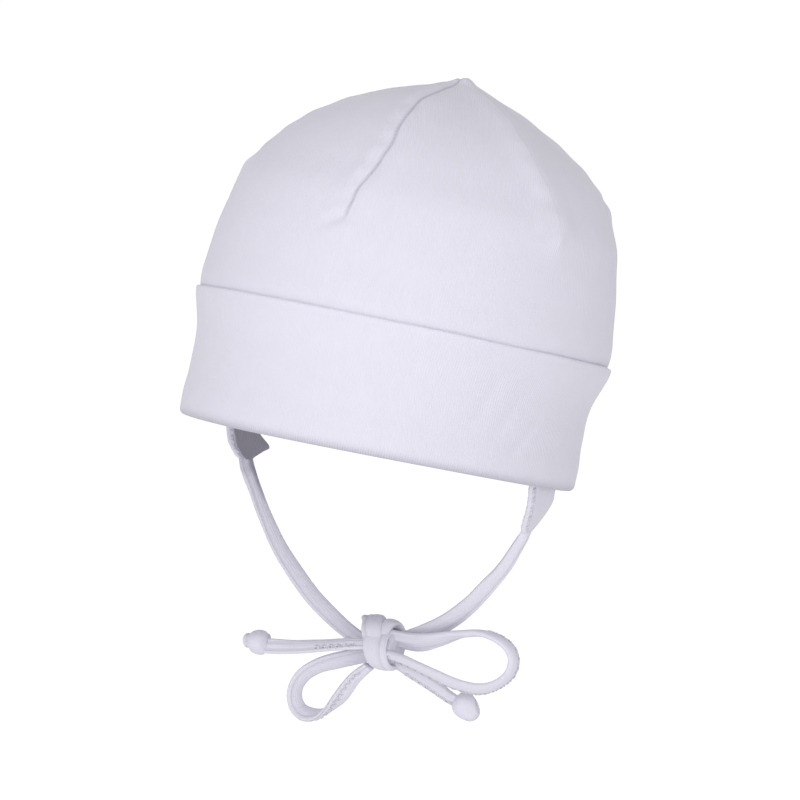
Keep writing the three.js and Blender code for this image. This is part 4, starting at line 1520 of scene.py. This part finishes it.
@dataclass
class BowKnot:
    """The knot of the bow: the turn of tie round its middle over the folds that it holds."""

    finish: JerseyFinish
    bow: BowFrame
    lean: float = -11.0
    middle_x: float = 1.4
    ring_steps: int = 16
    fold_thickness: float = 3.0
    bulk_rings: int = 29
    bulk_points: int = 48
    bulk_half_width: float = 7.0
    bulk_half_depth: float = 6.6
    bulk_half_height: float = 6.8
    bulk_middle: tuple[float, float, float] = (2.4, 2.0, 0.4)
    bulk_shade: float = 0.25

    def ring(self, width: float, depth: float, height: float, shift: float
             ) -> tuple[TieRow, ...]:
        """Winds one turn of tie round the bow, leaning with it.

        Args:
            width: breadth of the turn across the bow.
            depth: half of its reach from front to back.
            height: half of its reach up and down.
            shift: how far it sits towards the wearer's left.

        Returns:
            The turn's sections, the last one back at the first.
        """
        rows = []
        lean = math.radians(self.lean)
        for step in range(self.ring_steps + 1):
            turn = 2 * math.pi * step / self.ring_steps
            y = depth * math.cos(turn)
            z = height * math.sin(turn)
            x = self.middle_x + shift
            rows.append(TieRow(x * math.cos(lean) + z * math.sin(lean), y,
                               z * math.cos(lean) - x * math.sin(lean), width, 0.0))
        return tuple(rows)

    def build(self) -> list[bpy.types.Object]:
        """Builds the knot's turn, its inner bulk and the two folds above it.

        Returns:
            The knot's objects.
        """
        cloth = self.finish.material()
        turns = {
            "knot_turn": self.ring(width=9.4, depth=5.6, height=6.8, shift=1.2),
            "knot_under_turn": self.ring(width=8.6, depth=5.2, height=6.3, shift=1.9),
        }
        made = []
        for name, rows in turns.items():
            turn = WrappedTie(name, rows, Edge.FAR, closed=True, place=self.bow.place)
            made.append(settle(turn.build(cloth), Slot.TIE, "bow_knot"))
        folds = {"knot_fold_right": RIGHT_FOLD_ROWS, "knot_fold_left": LEFT_FOLD_ROWS}
        for name, rows in folds.items():
            fold = WrappedTie(name, rows, Edge.FAR, thickness=self.fold_thickness,
                              place=self.bow.place)
            made.append(settle(fold.build(cloth), Slot.TIE, "bow_knot"))
        made.append(settle(self._bulk(cloth), Slot.TIE, "bow_knot"))
        return made

    def _bulk(self, material: bpy.types.Material) -> bpy.types.Object:
        """Builds the bunched cloth inside the turn, from rings across the bow.

        Args:
            material: the tie's finish.

        Returns:
            The bulk's object.
        """
        along = np.linspace(-1.0, 1.0, self.bulk_rings + 2)[1:-1, None]
        turn = np.linspace(0, 2 * math.pi, self.bulk_points, endpoint=False)[None, :]
        middle_x, middle_y, middle_z = self.bulk_middle
        pleat = 1.0 + 0.05 * np.cos(7 * turn) + 0.04 * np.cos(3 * turn + 1.0)
        swell = np.sqrt(1 - along**4) * pleat
        x = middle_x + self.bulk_half_width * along + 0 * turn
        y = middle_y + self.bulk_half_depth * swell * np.cos(turn)
        z = middle_z + self.bulk_half_height * swell * np.sin(turn)
        points = self.bow.place(np.stack([x, y, z], axis=-1))
        ends = self.bow.place(np.array([[middle_x - self.bulk_half_width, middle_y, middle_z],
                                        [middle_x + self.bulk_half_width, middle_y, middle_z]]))
        arc = self.bulk_half_width * turn + 0 * along
        lay = 0.8 * self.bulk_half_width * along + 0 * turn
        step = self.bulk_half_width * 2 * math.pi / self.bulk_points
        # Painted shade: the bulk inside the knot is darkened evenly.
        skin = Skin(points, np.stack([lay, arc], axis=-1), np.stack([lay, arc + step], axis=-1),
                    0 * arc + self.bulk_shade, False, ends[0], ends[1])
        return skin.build("knot_bulk", material)


class KnotRow(NamedTuple):
    """Section of an end knot, along the tie's run, and how flat it is from front to back."""

    along: float
    radius: float
    flat: float


@dataclass
class TailKnot:
    """Overhand knot in the end of a tie, pulled tight, with the cut end showing as a nub.

    It lies at x, y and z in the bow's frame. The run is the tie's direction there in degrees,
    up from the wearer's left, and the twist starts the crease of its crossing turn.
    """

    name: str
    node: str
    rows: Sequence[KnotRow]
    x: float
    y: float
    z: float
    run: float
    twist: float
    bow: BowFrame
    ring_points: int = 56
    row_count: int = 70
    crease_depth: float = 0.55
    crease_half_width: float = 0.42
    second_share: float = 0.7
    second_place: float = 2.4
    second_slant: float = 0.8
    spiral: float = 0.9
    spiral_length: float = 3.2
    spiral_start: float = 0.5
    crease_from: float = 1.6
    crease_full: float = 3.4
    crease_shade: float = 0.5
    shoulder_height: float = 0.22
    shoulder_place: float = 1.6
    shoulder_half_width: float = 1.1
    three_sided: float = 0.04
    lay_radius: float = 4.0
    least_radius: float = 0.05

    def build(self, material: bpy.types.Material) -> bpy.types.Object:
        """Builds the knot as one closed skin with the crease of its crossing turn.

        Args:
            material: the tie's finish.

        Returns:
            The knot's object.
        """
        table = np.array(self.rows, float)
        places = even_places(table, (0, 1), self.row_count + 2)[1:-1]
        along, radius, flat = read_table(table, places).T
        radius = np.maximum(radius, self.least_radius)
        turn = np.linspace(0, 2 * math.pi, self.ring_points, endpoint=False)[None, :]
        wound = np.sin((along[:, None] + self.spiral_start) / self.spiral_length)
        spiral = self.spiral * wound + self.twist
        first = self._around(turn - spiral) * radius[:, None]
        second = (self._around(turn + spiral * self.second_slant - self.second_place)
                  * radius[:, None])
        full = smoothstep(radius, self.crease_from, self.crease_full)[:, None]
        crease = full * (bell(first, self.crease_half_width)
                         + self.second_share * bell(second, self.crease_half_width))
        shoulder = full * self.shoulder_height * (
            bell(first - self.shoulder_place, self.shoulder_half_width)
            + bell(second + self.shoulder_place, self.shoulder_half_width))
        rounded = radius[:, None] * (1 + self.three_sided * np.cos(3 * turn))
        reach = rounded + shoulder - self.crease_depth * crease
        slope = math.radians(self.run)
        run = np.array([math.cos(slope), 0, math.sin(slope)])
        side = np.array([-math.sin(slope), 0, math.cos(slope)])
        deep = np.array([0.0, 1.0, 0.0])
        middle = np.array([self.x, self.y, self.z]) + along[:, None] * run
        points = (middle[:, None, :] + (reach * np.cos(turn))[..., None] * side
                  + (reach * flat[:, None] * np.sin(turn))[..., None] * deep)
        ends = np.array([self.x, self.y, self.z]) + np.outer(table[[0, -1], 0], run)
        arc = np.repeat(turn * self.lay_radius, len(along), axis=0)
        lay = np.repeat(along[:, None], self.ring_points, axis=1)
        step = self.lay_radius * 2 * math.pi / self.ring_points
        # Painted shade in the crease of the crossing turn.
        shade = self.crease_shade * np.clip(crease, 0, 1)[:, ::-1]
        skin = Skin(self.bow.place(points)[:, ::-1], np.stack([arc, lay], axis=-1),
                    np.stack([arc + step, lay], axis=-1), shade,
                    False, self.bow.place(ends[0]), self.bow.place(ends[1]))
        return settle(skin.build(self.name, material), Slot.TIE, self.node)

    @staticmethod
    def _around(angle: np.ndarray) -> np.ndarray:
        """Brings angles in radians between -pi and pi."""
        return np.arctan2(np.sin(angle), np.cos(angle))


BALL_KNOT_ROWS = (
    KnotRow(-4.7, 0, 1),
    KnotRow(-4.3, 2.2, 0.8),
    KnotRow(-3.4, 3.6, 0.95),
    KnotRow(-1.8, 4.6, 0.95),
    KnotRow(0.4, 4.8, 0.95),
    KnotRow(2.4, 4.2, 0.95),
    KnotRow(3.7, 3, 0.9),
    KnotRow(4.4, 2.5, 0.9),
    KnotRow(5.2, 2.9, 0.9),
    KnotRow(6, 2.5, 0.9),
    KnotRow(6.4, 1.2, 0.9),
    KnotRow(6.5, 0, 0.9),
)
PILLOW_KNOT_ROWS = (
    KnotRow(-4.7, 0, 1),
    KnotRow(-4.4, 2.4, 0.7),
    KnotRow(-3.4, 3.8, 0.85),
    KnotRow(-1.4, 4.7, 0.95),
    KnotRow(1, 4.7, 0.95),
    KnotRow(3.2, 4, 0.95),
    KnotRow(5, 3, 0.95),
    KnotRow(6.1, 1.8, 0.95),
    KnotRow(6.5, 0, 0.95),
)


# The studio


class Lamp(NamedTuple):
    """Round soft lamp by its place round the cap, in degrees, and its power in watts."""

    name: str
    azimuth: float
    elevation: float
    power: float


@dataclass(frozen=True)
class Studio:
    """Pale paper floor, an even sky, three soft lamps and the photograph's view."""

    azimuth: float = 38.0
    elevation: float = 16.6
    distance: float = 1.0
    focal: float = 122.85
    target: tuple[float, float, float] = (0.0034, -0.0408, -0.1099)
    floor_height: float = -0.62
    floor_size: float = 16.0
    sky: int = 0xFFFFFF
    sky_strength: float = 0.53
    lamp_size: float = 0.7
    lamp_distance: float = 1.15
    lamps: tuple[Lamp, ...] = (
        Lamp("lamp_left", 10.0, 20.0, 3.1),
        Lamp("lamp_right", 62.0, 20.0, 2.2),
        Lamp("lamp_high", 24.0, 58.0, 2.6),
    )

    def direction(self, azimuth: float, elevation: float) -> Vector:
        """Returns the direction from the cap towards a place round it."""
        across, up = math.radians(azimuth), math.radians(elevation)
        level = math.cos(up)
        return Vector((math.sin(across) * level, -math.cos(across) * level, math.sin(up)))

    def build(self, paper: PaperFinish) -> None:
        """Builds floor, light and camera.

        Args:
            paper: the floor's finish.
        """
        self._floor(paper)
        self._lights()
        self._camera()
        bpy.context.scene.view_settings.view_transform = "Standard"

    def _floor(self, paper: PaperFinish) -> None:
        """Lays the floor well below the ties, because a head holds the cap up."""
        bpy.ops.object.select_all(action="DESELECT")
        bpy.ops.mesh.primitive_plane_add(size=self.floor_size, location=(0, 0, self.floor_height))
        floor = bpy.context.object
        floor.name = "studio_floor"
        floor.data.materials.append(paper.material())

    def _lights(self) -> None:
        """Hangs an even sky and the soft lamps."""
        world = bpy.data.worlds.new("studio_sky")
        bpy.context.scene.world = world
        world.use_nodes = True
        sky = world.node_tree.nodes["Background"]
        sky.inputs["Color"].default_value = linear(self.sky)
        sky.inputs["Strength"].default_value = self.sky_strength
        for lamp in self.lamps:
            data = bpy.data.lights.new(lamp.name, "AREA")
            data.shape = "DISK"
            data.size = self.lamp_size
            data.energy = lamp.power
            holder = bpy.data.objects.new(lamp.name, data)
            bpy.context.scene.collection.objects.link(holder)
            back = self.direction(lamp.azimuth, lamp.elevation)
            holder.location = Vector(self.target) + back * self.lamp_distance
            holder.rotation_mode = "QUATERNION"
            holder.rotation_quaternion = back.to_track_quat("Z", "Y")

    def _camera(self) -> None:
        """Sets up the camera at the photograph's viewing angle."""
        data = bpy.data.cameras.new("camera")
        data.lens = self.focal
        data.sensor_width = 36.0
        data.clip_start = 0.01
        data.clip_end = 50.0
        camera = bpy.data.objects.new("camera", data)
        bpy.context.scene.collection.objects.link(camera)
        back = self.direction(self.azimuth, self.elevation)
        camera.location = Vector(self.target) + back * self.distance
        camera.rotation_mode = "QUATERNION"
        camera.rotation_quaternion = back.to_track_quat("Z", "Y")
        bpy.context.scene.camera = camera


def main() -> None:
    """Builds the cap piece by piece, from the crown down to the ends of its ties."""
    logging.basicConfig(level=logging.INFO, format="%(name)s %(message)s")
    head = HeadFrame()
    bow = BowFrame()
    Crown(head, JerseyFinish("crown_jersey_knit")).build()
    Cuff(head, JerseyFinish("cuff_jersey_knit")).build()
    # The tabs' painted-shade colour is a darker grey, for the head's shadow painted on their inner
    # faces.
    tab_cloth = JerseyFinish("tab_jersey_knit", painted_shade_colour=0x918E99).material()
    thread = ThreadFinish()
    for side, rows, word in ((1, LEFT_TAB_ROWS, "left"), (-1, RIGHT_TAB_ROWS, "right")):
        tab = EarTab(f"tab_{word}", f"ear_tab_{word}", rows, side, head)
        tab.build(tab_cloth)
        sewn = Thread().build(f"stitches_tab_{word}", tab.stitches(), thread.material())
        settle(sewn, Slot.TAB)
    # The ties' painted-shade colour darkens their grooves and creases and the strap's painted
    # shadow.
    tie_finish = JerseyFinish("tie_jersey_knit", face=0xDBD9E5, painted_shade_colour=0x9996A5)
    Ties(tie_finish, thread, bow).build()
    BowKnot(tie_finish, bow).build()
    knot_cloth = tie_finish.material()
    TailKnot("end_knot_left", "tail_knot_left", PILLOW_KNOT_ROWS,
             x=36.4, y=3.4, z=-16, run=-36, twist=2.2, bow=bow).build(knot_cloth)
    TailKnot("end_knot_right", "tail_knot_right", BALL_KNOT_ROWS,
             x=-51.6, y=-3.2, z=-7, run=184, twist=0.6, bow=bow).build(knot_cloth)
    Studio().build(PaperFinish())


if __name__ == "__main__":
    main()
